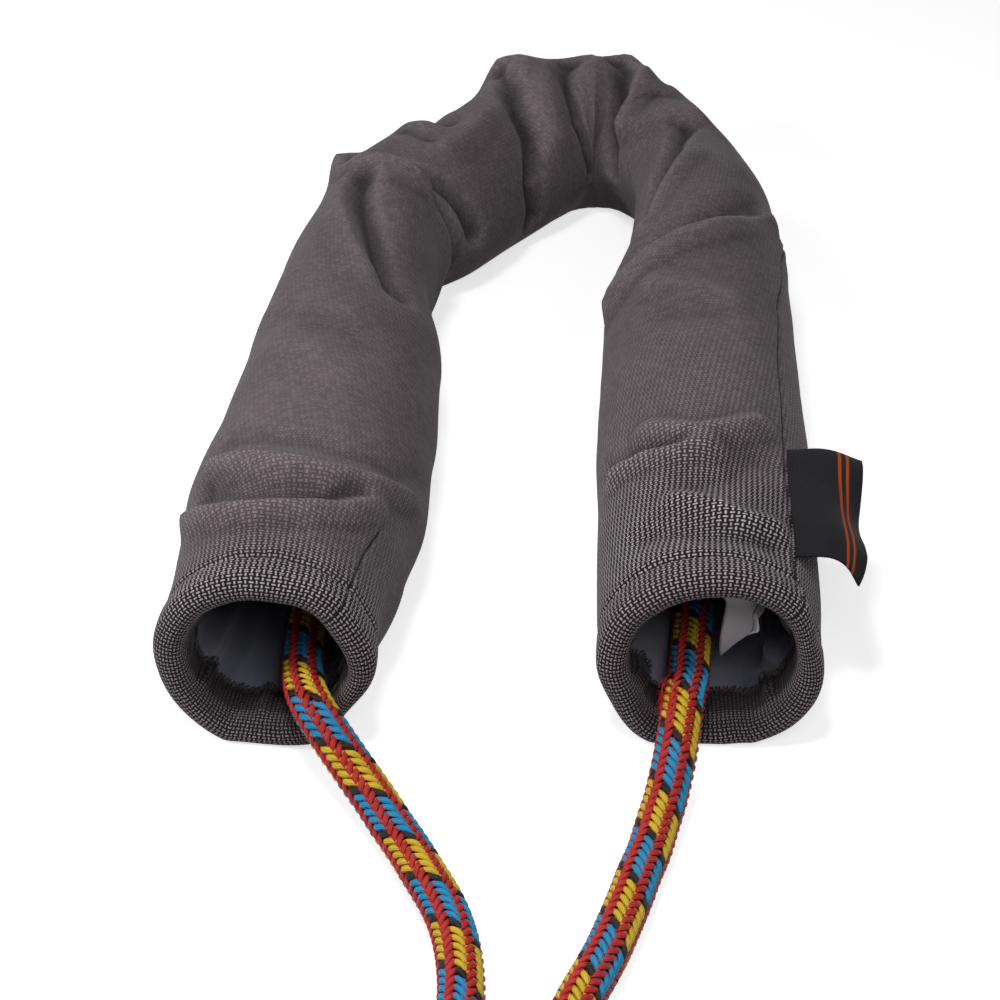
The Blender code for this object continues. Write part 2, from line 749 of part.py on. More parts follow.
def build_rope(rope, shrink):
    """The rope inside the sleeve, its two free tails and the sealed ends."""
    run, (left_mouth, right_mouth) = rope_run()
    half_gap = CLEARANCE / 2
    radius = ROPE / 2
    inner = (left_mouth + half_gap, right_mouth - half_gap)
    add_tube("rope_in_sleeve", run, *inner, radius, ROPE_POINT_STEP, rope)
    left = (END_SLEEVE_LENGTH + half_gap, left_mouth - half_gap)
    right = (right_mouth + half_gap, run.length - END_SLEEVE_LENGTH - half_gap)
    add_tube("rope_tail_left", run, *left, radius, ROPE_POINT_STEP, rope)
    add_tube("rope_tail_right", run, *right, radius, ROPE_POINT_STEP, rope)
    add_tube("rope_end_left", run, 0.0, left[0] - CLEARANCE, radius, ROPE_POINT_STEP / 2, shrink)
    last = (right[1] + CLEARANCE, run.length)
    add_tube("rope_end_right", run, *last, radius, ROPE_POINT_STEP / 2, shrink)


def main():
    for piece in list(bpy.data.objects):
        bpy.data.objects.remove(piece, do_unlink=True)
    cover = finish("cover_weave", (0.16, 0.145, 0.15), 0.85)
    foam = finish("padding_foam", (0.62, 0.60, 0.54), 0.95)
    lining = finish("lining_cloth", (0.033, 0.036, 0.055), 0.55)
    thread = finish("black_thread", (0.02, 0.02, 0.022), 0.7)
    label = finish("side_label_weave", (0.015, 0.015, 0.018), 0.6)
    care = finish("care_label_satin", (0.80, 0.80, 0.82), 0.5)
    rope = finish("rope_sheath", (0.55, 0.05, 0.04), 0.6)
    shrink = finish("rope_end_shrink", (0.02, 0.02, 0.02), 0.45)
    build_cover(cover)
    build_padding(foam)
    build_lining(lining)
    build_hem_trim(thread)
    build_seam_trim(thread)
    build_side_label(label)
    build_care_label(care)
    build_rope(rope, shrink)


main()
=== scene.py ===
"""Dresses the padded rope protector sleeve: woven cover, foam, lining, labels and braided rope."""

import logging
import math
from dataclasses import asdict, dataclass
from enum import Enum
from typing import Any, Callable, Sequence

import bpy
import numpy as np
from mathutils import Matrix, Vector


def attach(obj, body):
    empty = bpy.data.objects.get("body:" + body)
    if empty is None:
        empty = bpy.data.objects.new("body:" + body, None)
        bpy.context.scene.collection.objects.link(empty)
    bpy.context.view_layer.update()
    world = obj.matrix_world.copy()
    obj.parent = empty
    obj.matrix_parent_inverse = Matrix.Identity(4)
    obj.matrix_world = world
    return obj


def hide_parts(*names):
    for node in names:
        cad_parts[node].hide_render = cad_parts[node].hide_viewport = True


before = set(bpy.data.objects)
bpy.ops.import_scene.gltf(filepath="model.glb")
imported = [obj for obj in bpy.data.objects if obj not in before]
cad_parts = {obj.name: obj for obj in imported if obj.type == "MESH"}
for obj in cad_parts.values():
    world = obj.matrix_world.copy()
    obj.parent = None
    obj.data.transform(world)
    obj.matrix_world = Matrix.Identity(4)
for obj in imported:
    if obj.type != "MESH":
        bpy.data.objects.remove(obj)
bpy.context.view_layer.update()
LOG = logging.getLogger("sleeve")

UP = np.array([0.0, 0.0, 1.0])
Array = np.ndarray
Table = Sequence[Sequence[float]]

# Middle line of the sleeve, its section and its seam, as the frame has them
PATH_SHARES: Table = (
    (-0.510, -0.008), (-0.474, 0.115), (-0.446, 0.235), (-0.412, 0.355), (-0.388, 0.475),
    (-0.370, 0.590), (-0.333, 0.698), (-0.245, 0.800), (-0.112, 0.878), (0.030, 0.948),
    (0.175, 1.003), (0.320, 1.018), (0.452, 0.996), (0.547, 0.934), (0.598, 0.836),
    (0.588, 0.710), (0.564, 0.592), (0.547, 0.480), (0.533, 0.368), (0.522, 0.253),
    (0.508, 0.127), (0.496, -0.008),
)
SECTION_SHARES: Table = (
    (0.00, 0.97, 1.00), (0.03, 0.98, 1.00), (0.07, 1.04, 0.99), (0.11, 1.13, 0.96),
    (0.16, 1.06, 0.98), (0.22, 0.99, 1.00), (0.28, 0.86, 1.03), (0.33, 0.79, 1.02),
    (0.38, 0.92, 0.96), (0.43, 0.88, 0.92), (0.47, 0.86, 0.97), (0.52, 0.84, 0.96),
    (0.56, 0.76, 0.92), (0.60, 0.72, 0.90), (0.65, 0.84, 0.98), (0.70, 0.96, 1.01),
    (0.75, 0.99, 1.00), (0.80, 1.00, 1.00), (0.87, 1.02, 0.99), (0.94, 1.00, 1.00),
    (1.00, 1.00, 1.00),
)
SEAM_TURNS: Table = (
    (0.000, 44.0), (0.035, 41.0), (0.075, 36.0), (0.110, 16.0), (0.160, -20.0),
    (0.250, -66.0), (0.400, -112.0), (0.550, -158.0), (0.650, -188.0), (0.720, -208.0),
    (0.770, -219.0), (0.830, -224.0), (0.880, -226.0), (0.980, -226.0), (1.000, -223.0),
)

# Folds of the cover: height and width in millimetres, how sharp, and their lines as shares of
# the length with angles round the sleeve
CREASES: tuple[tuple[float, float, float, Table], ...] = (
    (1.6, 9.0, 0.3, ((0.053, 138), (0.044, 100), (0.048, 78), (0.065, 52))),
    (3.2, 3.8, 1.0, ((0.071, 152), (0.063, 144), (0.048, 120), (0.044, 100),
        (0.047, 80), (0.057, 60), (0.072, 47))),
    (1.2, 9.0, 0.3, ((0.088, 118), (0.077, 86), (0.081, 52))),
    (3.2, 3.8, 1.0, ((0.096, 134), (0.088, 118), (0.080, 98),
        (0.0765, 72), (0.082, 52), (0.096, 28))),
    (-3.0, 5.6, 0.5, ((0.080, 140), (0.067, 118), (0.062, 92), (0.063, 68), (0.072, 56))),
    (-1.8, 6.0, 0.4, ((0.114, 128), (0.106, 98), (0.100, 70), (0.106, 40), (0.120, 24))),
    (1.2, 7.0, 0.6, ((0.190, 120), (0.172, 100), (0.157, 84))),
    (-1.2, 8.0, 0.3, ((0.215, 124), (0.196, 98), (0.182, 74))),
    (1.0, 6.0, 0.7, ((0.228, 140), (0.214, 112), (0.206, 84))),
    (-2.4, 9.0, 0.2, ((0.303, 84), (0.266, 66), (0.244, 50))),
    (-6.0, 4.2, 1.0, ((0.326, 101), (0.303, 92), (0.283, 82),
        (0.266, 74), (0.252, 66), (0.238, 56))),
    (2.2, 6.0, 0.7, ((0.320, 114), (0.297, 104), (0.277, 94), (0.260, 86), (0.244, 78))),
    (1.8, 10.0, 0.2, ((0.350, 126), (0.340, 96), (0.342, 64))),
    (3.6, 4.8, 1.0, ((0.357, 134), (0.348, 120), (0.341, 100),
        (0.338, 80), (0.340, 66), (0.345, 54))),
    (-2.0, 9.0, 0.2, ((0.358, 100), (0.362, 52), (0.366, 10))),
    (-6.0, 3.6, 1.0, ((0.351, 118), (0.352, 92), (0.354, 72),
        (0.359, 52), (0.363, 30), (0.369, 4))),
    (-5.4, 3.4, 1.0, ((0.348, 54), (0.345, 40), (0.346, 22), (0.348, 2), (0.352, -14))),
    (1.6, 5.0, 0.9, ((0.384, 72), (0.400, 71), (0.420, 78), (0.438, 84))),
    (-1.6, 3.2, 0.8, ((0.392, 112), (0.388, 98), (0.386, 84))),
    (-3.0, 5.0, 0.6, ((0.418, 140), (0.413, 112), (0.412, 96))),
    (3.0, 9.0, 0.0, ((0.486, 142), (0.480, 118))),
    (3.4, 5.6, 0.9, ((0.483, 146), (0.478, 124), (0.468, 106))),
    (-2.2, 9.0, 0.2, ((0.462, 96), (0.449, 68), (0.440, 38), (0.431, 8), (0.433, -20))),
    (-6.4, 3.4, 1.0, ((0.474, 122), (0.458, 88), (0.450, 70),
        (0.444, 45), (0.430, 12), (0.434, -24))),
    (1.6, 6.0, 0.6, ((0.482, 98), (0.476, 84), (0.466, 60), (0.458, 36))),
    (-4.2, 3.8, 0.9, ((0.500, 98), (0.495, 86), (0.486, 57),
        (0.480, 35), (0.484, 10), (0.492, -6))),
    (1.6, 5.0, 0.5, ((0.512, 118), (0.512, 88), (0.510, 58), (0.512, 34))),
    (-1.8, 9.0, 0.2, ((0.527, 96), (0.542, 50), (0.556, 18))),
    (-5.6, 3.8, 1.0, ((0.521, 118), (0.527, 98), (0.532, 76),
        (0.545, 50), (0.555, 26), (0.564, 6))),
    (4.8, 5.0, 0.9, ((0.521, 142), (0.523, 126), (0.537, 94), (0.547, 70), (0.560, 40))),
    (1.2, 4.0, 0.6, ((0.554, 104), (0.550, 78))),
    (-1.3, 4.0, 0.5, ((0.562, 96), (0.553, 64))),
    (1.7, 4.4, 0.7, ((0.584, 102), (0.577, 72), (0.571, 50))),
    (-1.4, 3.4, 0.6, ((0.594, 98), (0.590, 78))),
    (-4.6, 3.6, 1.0, ((0.597, 86), (0.605, 76), (0.624, 65), (0.655, 52), (0.690, 42))),
    (2.2, 4.0, 0.9, ((0.638, 82), (0.655, 70), (0.674, 58), (0.702, 44))),
    (-4.6, 7.0, 0.5, ((0.686, 128), (0.702, 106), (0.714, 84), (0.722, 66), (0.732, 46))),
    (-1.8, 6.0, 0.2, ((0.698, 114), (0.706, 100))),
    (1.6, 9.0, 0.2, ((0.708, 114), (0.730, 90), (0.748, 50))),
    (3.8, 4.6, 1.0, ((0.682, 140), (0.706, 114), (0.728, 90),
        (0.737, 70), (0.746, 47), (0.753, 25))),
    (1.5, 4.6, 0.8, ((0.782, 104), (0.776, 84), (0.765, 60))),
    (-1.2, 6.0, 0.4, ((0.800, 96), (0.796, 70))),
    (3.0, 3.6, 1.0, ((0.884, 56), (0.892, 72), (0.896, 84), (0.892, 100), (0.881, 118))),
    (-2.0, 4.2, 0.5, ((0.885, 24), (0.897, 50), (0.901, 70))),
    (3.2, 3.6, 1.0, ((0.902, 34), (0.903, 44), (0.905, 58), (0.908, 74), (0.906, 88))),
    (2.4, 3.6, 1.0, ((0.942, 72), (0.951, 91), (0.957, 104), (0.955, 122))),
    (-2.4, 7.0, 0.4, ((0.907, 114), (0.926, 98), (0.930, 82))),
    (-1.8, 5.0, 0.5, ((0.967, 118), (0.969, 90), (0.960, 56))),
    (-2.6, 15.0, 0.0, ((0.300, -10), (0.270, 4))),
    (-5.0, 12.0, 0.0, ((0.352, -30), (0.360, -48))),
    (0.8, 8.0, 0.0, ((0.356, 146), (0.362, 126))),
    (1.6, 6.0, 0.0, ((0.402, 118), (0.402, 106))),
    (-2.6, 9.0, 0.0, ((0.434, 130), (0.454, 132))),
    (-2.6, 13.0, 0.0, ((0.505, -36), (0.530, -44))),
    (-3.8, 13.0, 0.0, ((0.560, -36), (0.600, -12))),
    (-3.6, 14.0, 0.0, ((0.640, 12), (0.690, 24))),
    (-3.4, 12.0, 0.0, ((0.540, 122), (0.574, 140))),
    (-3.2, 14.0, 0.0, ((0.000, -34), (0.026, -20))),
    (-2.2, 12.0, 0.0, ((0.985, 160), (1.000, 166))),
)

# The rope's way in the sleeve and of its two free tails, as the frame has them
ROPE_PLAY_SHARES: Table = (
    (-0.0045, 0.90, 0.58), (0.006, 0.68, 0.59), (0.017, 0.54, 0.63), (0.029, 0.44, 0.71),
    (0.042, 0.36, 0.79), (0.065, 0.28, 1.00), (0.120, 0.10, 1.00), (0.220, -0.10, 1.00),
    (0.350, -0.36, 1.00), (0.500, -0.42, 1.00), (0.650, -0.36, 1.00), (0.780, -0.10, 1.00),
    (0.880, 0.06, 1.00), (0.935, 0.18, 1.00), (0.957, 0.25, 0.80), (0.971, 0.30, 0.74),
    (0.985, 0.34, 0.70), (0.996, 0.42, 0.69), (1.009, 0.49, 0.77),
)
LEFT_TAIL_SHARES: Table = (
    (-0.347, -0.050, 0.73), (-0.290, -0.082, 0.44), (-0.250, -0.104, 0.23),
    (-0.212, -0.129, 0.09), (-0.173, -0.156, 0.02), (-0.139, -0.184, 0.0),
    (-0.105, -0.213, 0.0), (-0.080, -0.241, 0.0), (-0.065, -0.269, 0.0),
    (-0.058, -0.296, 0.0), (-0.057, -0.322, 0.0), (-0.066, -0.354, 0.0),
    (-0.093, -0.392, 0.0), (-0.144, -0.428, 0.0), (-0.220, -0.460, 0.0),
    (-0.318, -0.484, 0.0), (-0.428, -0.498, 0.0), (-0.542, -0.503, 0.0),
    (-0.657, -0.503, 0.0),
)
RIGHT_TAIL_SHARES: Table = (
    (0.410, -0.056, 0.53), (0.397, -0.078, 0.34), (0.381, -0.102, 0.17),
    (0.361, -0.127, 0.06), (0.341, -0.155, 0.0), (0.315, -0.184, 0.0),
    (0.292, -0.213, 0.0), (0.267, -0.241, 0.0), (0.241, -0.269, 0.0),
    (0.211, -0.296, 0.0), (0.180, -0.322, 0.0), (0.151, -0.354, 0.0),
    (0.140, -0.392, 0.0), (0.157, -0.430, 0.0), (0.208, -0.463, 0.0),
    (0.288, -0.487, 0.0), (0.390, -0.501, 0.0), (0.500, -0.506, 0.0),
    (0.614, -0.507, 0.0), (0.725, -0.506, 0.0),
)


def smooth_run(points: Sequence[Sequence[float]] | Array, steps: int) -> Array:
    """Points of a smooth curve through the given ones.

    Args:
        points: the places that the curve passes.
        steps: how many points stand for each span.

    Returns:
        The curve's points, one row each.
    """
    line = np.asarray(points, float)
    line = np.vstack([2 * line[:1] - line[1:2], line, 2 * line[-1:] - line[-2:-1]])
    t = (np.arange(steps) / steps)[None, :, None]
    before, start, stop, after = (line[i : len(line) - 3 + i, None, :] for i in range(4))
    run = 0.5 * (
        2 * start
        + (stop - before) * t
        + (2 * before - 5 * start + 4 * stop - after) * t**2
        + (3 * start - before - 3 * stop + after) * t**3
    )
    return np.vstack([run.reshape(-1, line.shape[1]), line[-2:-1]])


def lookup(table: Table, share: Array | float, column: int = 1) -> Array:
    """Reads a column of a table at shares of its first column, in smooth steps between rows.

    Args:
        table: rows that start with a share.
        share: where to read.
        column: which column to read.

    Returns:
        The values, clamped to the table's ends.
    """
    rows = np.asarray(table, float)
    share = np.clip(share, rows[0, 0], rows[-1, 0])
    high = np.clip(np.searchsorted(rows[:, 0], share), 1, len(rows) - 1)
    t = (share - rows[high - 1, 0]) / (rows[high, 0] - rows[high - 1, 0])
    low = rows[high - 1, column]
    return low + (rows[high, column] - low) * eased(t)


def eased(share: Array | float) -> Array | float:
    """Smooth step of a share from 0 to 1."""
    return share * share * (3 - 2 * share)


def bell(away: Array, width: float) -> Array:
    """One at no distance, fading to nothing beyond a width."""
    return np.exp(-((away / width) ** 2))


def blurred(field: Array, reach: int, times: int) -> Array:
    """Evens out a field of the unrolled cover over the cells within a reach."""
    wide = 2 * reach + 1
    for _ in range(times):
        tall = np.pad(field, ((reach, reach), (0, 0)), "edge")
        field = sum(tall[k : k + len(field)] for k in range(wide)) / wide
        field = sum(np.roll(field, k, 1) for k in range(-reach, reach + 1)) / wide
    return field


def unit(vectors: Array) -> Array:
    """Vectors at length one."""
    return vectors / np.maximum(np.linalg.norm(vectors, axis=-1, keepdims=True), 1e-12)


def read_cells(grid: Array, row: Array, column: Array, soft: bool = False) -> Array:
    """Reads a grid between its rows and columns, its last column joining the first.

    Args:
        grid: the values.
        row: where to read, in rows.
        column: where to read, in columns.
        soft: whether the values ease from cell to cell.

    Returns:
        The values.
    """
    i, j = np.floor(row).astype(int), np.floor(column).astype(int)
    u, v = row - i, column - j
    if soft:
        u, v = eased(u), eased(v)
    low, high = j % grid.shape[1], (j + 1) % grid.shape[1]
    near = grid[i, low] * (1 - v) + grid[i, high] * v
    far = grid[i + 1, low] * (1 - v) + grid[i + 1, high] * v
    return near * (1 - u) + far * u


class Run:
    """A curve with its length, read by distance along it."""

    def __init__(self, points: Array) -> None:
        """Keeps the points and the distance of each from the first."""
        self.points = points
        steps = np.linalg.norm(np.diff(points, axis=0), axis=1)
        self.marks = np.concatenate([[0.0], np.cumsum(steps)])
        self.length = float(self.marks[-1])

    def at(self, distance: Array | float) -> Array:
        """Places at distances along the curve, clamped to its ends."""
        return np.stack([np.interp(distance, self.marks, column) for column in self.points.T], -1)

    def heading(self, distance: Array | float, reach: float) -> Array:
        """Unit directions of travel, read over a reach on both sides."""
        return unit(self.at(np.asarray(distance) + reach) - self.at(np.asarray(distance) - reach))


class Ripple:
    """Smooth random waves over the unrolled cloth, the same on every run."""

    def __init__(self, seed: int, cells_round: int, cell_length: float) -> None:
        """Fills a grid of heights that closes round the sleeve.

        Args:
            seed: the fixed seed of the heights.
            cells_round: how many waves go round the sleeve.
            cell_length: length of a wave along the sleeve, in metres.
        """
        self.heights = np.random.default_rng(seed).uniform(-1, 1, (2048, cells_round))
        self.cells_round = cells_round
        self.cell_length = cell_length

    def at(self, distance: Array, angle: Array) -> Array:
        """Heights from -1 to 1 at distances and angles."""
        row = distance / self.cell_length + 900
        return read_cells(self.heights, row, angle / math.tau * self.cells_round, True)


@dataclass(frozen=True)
class SleeveShape:
    """Form of the sleeve: places are read by distance along it, angle round it and depth."""

    leg_spread: float = 0.1180
    u_reach: float = 0.3160
    mouths_aside: float = 0.0076
    mouths_ahead: float = 0.1706
    half_width: float = 0.0305
    half_height: float = 0.0291
    table_flat: float = 0.0024
    padding: float = 0.0042
    padding_top: float = 0.0013
    padding_foot: float = 0.0055
    lining_top: float = 0.0058
    lining_foot: float = 0.0064
    facing_top: float = 0.0067
    wall: float = 0.0077
    hem_turn: float = 0.0150
    hem_stitch: float = 0.0125
    stitch_spread: float = 0.0025
    stitch_dip: float = 0.0013
    hem_puff: float = 0.0007
    heading_share: float = 0.006
    crease_gain: float = 1.15
    field_step: float = 0.0010
    cavity_depth: float = 0.0016
    crease_edge: float = 0.00065
    deepest: float = 0.0085
    mouth_waver: float = 0.0024
    mouth_waver_reach: float = 0.022
    mouth_recess: float = 0.0016
    mouth_recess_reach: float = 0.030

    def __post_init__(self) -> None:
        """Works out the middle line, the fields of the folds and the folds' painted shade and
        highlight once.
        """
        shares = np.array(PATH_SHARES)
        places = np.zeros((len(shares), 3))
        places[:, 0] = shares[:, 0] * self.leg_spread - self.mouths_aside
        places[:, 1] = shares[:, 1] * self.u_reach - self.mouths_ahead
        object.__setattr__(self, "middle", Run(smooth_run(places, 12)))
        spots = np.arange(0, self.length + 2 * self.field_step, self.field_step)[:, None]
        relief = self.crease_height(spots, np.radians(np.arange(0, 360, 2.0))[None, :])
        hollow = relief
        for _ in range(3):
            tall = np.pad(hollow, ((1, 1), (0, 0)), "edge")
            hollow = np.minimum.reduce([tall[:-2], tall[2:], hollow])
            hollow = np.minimum.reduce([np.roll(hollow, turn, 1) for turn in (-1, 0, 1)])
        # Painted shade in the folds' valleys and painted highlight on their crests, from how far
        # the relief lies below or above its evened-out self
        even, near = blurred(relief, 3, 3), blurred(relief, 1, 2)
        cavity = 0.7 * (even - relief) / self.cavity_depth + (near - relief) / self.crease_edge
        object.__setattr__(self, "relief", relief)
        object.__setattr__(self, "hollow", hollow)
        object.__setattr__(self, "cavity", np.clip(cavity, -1, 1))

    @property
    def length(self) -> float:
        """Length of the middle line."""
        return self.middle.length

    def heading(self, distance: Array | float) -> Array:
        """Unit directions of the middle line at distances."""
        return self.middle.heading(distance, self.length * self.heading_share)

    def from_mouth(self, distance: Array | float) -> Array:
        """Distances from the nearer mouth."""
        return np.minimum(distance, self.length - distance)

    def section(self, distance: Array) -> tuple[Array, Array, Array, Array]:
        """Middle, inner side direction, half width and half height at distances."""
        heading = self.heading(distance)
        side = np.stack([heading[..., 1], -heading[..., 0], 0 * heading[..., 0]], -1)
        share = distance / self.length
        half_width = self.half_width * lookup(SECTION_SHARES, share, 1)
        half_height = self.half_height * lookup(SECTION_SHARES, share, 2)
        return self.middle.at(distance), side, half_width, half_height

    def seam_angle(self, distance: Array | float) -> Array:
        """Angle of the long seam at distances, in radians."""
        return np.radians(lookup(SEAM_TURNS, np.asarray(distance) / self.length))

    def outward(self, distance: Array, angle: Array) -> Array:
        """Directions out of the cloth at distances and angles."""
        side = self.section(distance)[1]
        return side * np.cos(angle)[:, None] + np.sin(angle)[:, None] * UP

    def off_line(self, distance: Array, angle: Array, line: Table) -> Array:
        """Distance on the unrolled cover from places to a fold's line."""
        turned = np.degrees(angle) + 90
        across = np.radians(turned % 360 - 90) * self.half_width
        nearest = np.full(np.broadcast(distance, angle).shape, 1.0)
        flat = [(share * self.length, math.radians(turn) * self.half_width) for share, turn in line]
        for (x, y), (to_x, to_y) in zip(flat, flat[1:]):
            leg_x, leg_y = to_x - x, to_y - y
            t = ((distance - x) * leg_x + (across - y) * leg_y) / (leg_x**2 + leg_y**2)
            t = np.clip(t, 0, 1)
            away = np.hypot(distance - x - t * leg_x, across - y - t * leg_y)
            nearest = np.minimum(nearest, away)
        return nearest

    def crease_height(self, distance: Array, angle: Array) -> Array:
        """How far the folds lift the cover, no deeper than the wall has room for."""
        height = np.zeros(np.broadcast(distance, angle).shape)
        for tall, wide, sharp, line in CREASES:
            reach = self.off_line(distance, angle, line) / (wide / 1000)
            soft = np.exp(-reach * reach)
            tent = np.maximum(0.0, 1 - reach / 1.9) ** 1.2
            height += self.crease_gain * tall / 1000 * (soft + sharp * (tent - soft))
        return np.where(height < 0, -self.deepest * np.tanh(-height / self.deepest), height)

    def read(self, field: Array, distance: Array, angle: Array) -> Array:
        """Reads a field of the unrolled cover at distances and angles."""
        row = np.clip(distance / self.field_step, 0, field.shape[0] - 1.001)
        return read_cells(field, row, angle / math.tau * field.shape[1])

    def wall_lift(self, distance: Array, angle: Array) -> Array:
        """How far the folds lift the cover."""
        return self.read(self.relief, distance, angle)

    def sunk_lift(self, distance: Array, angle: Array) -> Array:
        """The lowest that the cover lies round a place, so that nothing under it shows."""
        return self.read(self.hollow, distance, angle)

    def mouth_lift(self, distance: Array, angle: Array) -> Array:
        """How far the uneven mouths push every layer outwards."""
        near = np.exp(-self.from_mouth(distance) / self.mouth_waver_reach)
        coarse = Ripple(31, 6, 0.080).at(distance, angle)
        fine = Ripple(32, 13, 0.050).at(distance, angle)
        return self.mouth_waver * near * (coarse + 0.35 * fine)

    def mouth_shift(self, distance: Array, angle: Array) -> Array:
        """How far the uneven mouths draw back, as a change of distance."""
        left = np.exp(-distance / self.mouth_recess_reach)
        right = np.exp(-(self.length - distance) / self.mouth_recess_reach)
        wave = 0.5 + 0.5 * Ripple(33, 5, 0.090).at(distance, angle)
        return self.mouth_recess * wave * (left - right)

    def stitch_draw(self, distance: Array, depth: Array | float) -> Array:
        """How far the hem stitch draws a layer inwards. The layers of the facing go outwards."""
        away = np.abs(self.from_mouth(distance) - self.hem_stitch)
        tent = np.maximum(0.0, 1 - away / self.stitch_spread)
        return self.stitch_dip * eased(tent) * (1 - 2 * depth / self.wall)

    def hem_lift(self, distance: Array) -> Array:
        """How far the cloth rolled into a hem puffs out between its stitch and the mouth."""
        share = np.clip(self.from_mouth(distance) / self.hem_stitch, 0, 1)
        return self.hem_puff * np.sin(math.pi * share) ** 0.7

    def place(self, distance: Array, angle: Array, depth: Array | float, lift: Array) -> Array:
        """Places on the sleeve.

        Args:
            distance: distance along the sleeve from the left mouth.
            angle: angle round it, 0 on the inner side of the U and a quarter turn on top.
            depth: depth below the outside of the cover.
            lift: how far the layer stands out of its plain place.

        Returns:
            World places, with a last axis of three.
        """
        lift = lift + self.mouth_lift(distance, angle)
        distance = distance + self.mouth_shift(distance, angle)
        middle, side, half_width, half_height = self.section(distance)
        out = (half_width + lift - depth) * np.cos(angle)
        up = (half_height + lift - depth) * np.sin(angle)
        floor = depth + np.maximum(0.0, -lift)
        height = np.maximum(half_height - self.table_flat + up, floor)
        return middle + side * out[..., None] + height[..., None] * UP


def put(name: str, data: Any) -> bpy.types.Object:
    """Puts a new object of a mesh, a lamp or a camera in the scene."""
    made = bpy.data.objects.new(name, data)
    bpy.context.scene.collection.objects.link(made)
    return made


def put_mesh(
    name: str, points: Array, faces: Sequence[Sequence[int]], corners: Array
) -> bpy.types.Object:
    """Makes an object of a closed mesh, its faces turned outwards.

    Args:
        name: the piece's name.
        points: the places, one row each.
        faces: the corners of each face as indices of places.
        corners: two cloth coordinates for each corner of each face, in the faces' order.

    Returns:
        The new object at the origin.
    """
    faces = [tuple(int(i) for i in face) for face in faces]
    fan = [(face[0], face[k], face[k + 1]) for face in faces for k in range(1, len(face) - 1)]
    first, second, third = (points[np.array(fan)[:, k]] for k in range(3))
    inside_out = float((np.cross(first, second) * third).sum()) < 0
    if inside_out:
        faces = [face[::-1] for face in faces]
    mesh = bpy.data.meshes.new(name)
    mesh.from_pydata(points.tolist(), [], faces)
    if inside_out:
        starts = np.cumsum([0] + [len(face) for face in faces])
        order = [np.arange(b - 1, a - 1, -1) for a, b in zip(starts, starts[1:])]
        corners = corners[np.concatenate(order)]
    layer = mesh.uv_layers.new(name="cloth")
    layer.data.foreach_set("uv", np.ascontiguousarray(corners, np.float32).ravel())
    mesh.shade_smooth()
    mesh.update()
    return put(name, mesh)


def grid_faces(
    rows: int, columns: int, close_rows: bool, close_columns: bool
) -> tuple[Array, Array]:
    """Faces of a grid of places.

    Args:
        rows: number of rows of places.
        columns: number of places in a row.
        close_rows: whether the last row joins the first.
        close_columns: whether the last column joins the first.

    Returns:
        The faces as indices of places, and their corners as indices of a grid of cloth
        coordinates that has one row and one column more where they close.
    """
    i = np.arange(rows if close_rows else rows - 1)[:, None]
    j = np.arange(columns if close_columns else columns - 1)[None, :]
    around = ((0, 0), (0, 1), (1, 1), (1, 0))
    faces = np.stack([((i + a) % rows) * columns + (j + b) % columns for a, b in around], -1)
    wide = columns + 1 if close_columns else columns
    corners = np.stack([(i + a) * wide + (j + b) for a, b in around], -1)
    return faces.reshape(-1, 4), corners.reshape(-1, 4)


def keep(
    piece: bpy.types.Object,
    body: str,
    slot: "Slot",
    nodes: Sequence[str] = (),
    finishes: Sequence[bpy.types.Material] = (),
) -> None:
    """Finishes a piece and puts it on its body and in the place of its nodes."""
    for finish in finishes:
        piece.data.materials.append(finish)
    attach(piece, body)
    if nodes:
        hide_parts(*nodes)
    LOG.info("%s: %d faces, on %s", piece.name, len(piece.data.polygons), body)


def operator(operation: str, swap: bool = False) -> Callable[..., "Value"]:
    """Makes an operator of Value that adds one Math node, its terms swapped if asked."""

    def apply(self: "Value", *others: "Value | float") -> "Value":
        """Adds the Math node on this value and others."""
        terms = [*others, self] if swap else [self, *others]
        named = {str(i): term for i, term in enumerate(terms)}
        return self.nodes.node("ShaderNodeMath", {"operation": operation}, **named)

    return apply


RAYS = ("Camera", "Glossy", "Transmission")


class Value:
    """A number socket that takes part in Python expressions."""

    def __init__(self, nodes: "Nodes", socket: Any) -> None:
        """Keeps the tree that the socket belongs to."""
        self.nodes = nodes
        self.socket = socket

    __add__ = __radd__ = operator("ADD")
    __mul__ = __rmul__ = operator("MULTIPLY")
    __sub__, __rsub__ = operator("SUBTRACT"), operator("SUBTRACT", swap=True)
    __truediv__, __mod__ = operator("DIVIDE"), operator("FLOORED_MODULO")
    __pow__, __abs__ = operator("POWER"), operator("ABSOLUTE")
    floor, sine, larger = operator("FLOOR"), operator("SINE"), operator("MAXIMUM")

    def step(self, low: float, high: float, start: float = 0.0, stop: float = 1.0) -> "Value":
        """Smooth step from start at low to stop at high."""
        settings = {"interpolation_type": "SMOOTHSTEP"}
        named = {"Value": self, "From Min": low, "From Max": high, "To Min": start, "To Max": stop}
        return self.nodes.node("ShaderNodeMapRange", settings, **named)


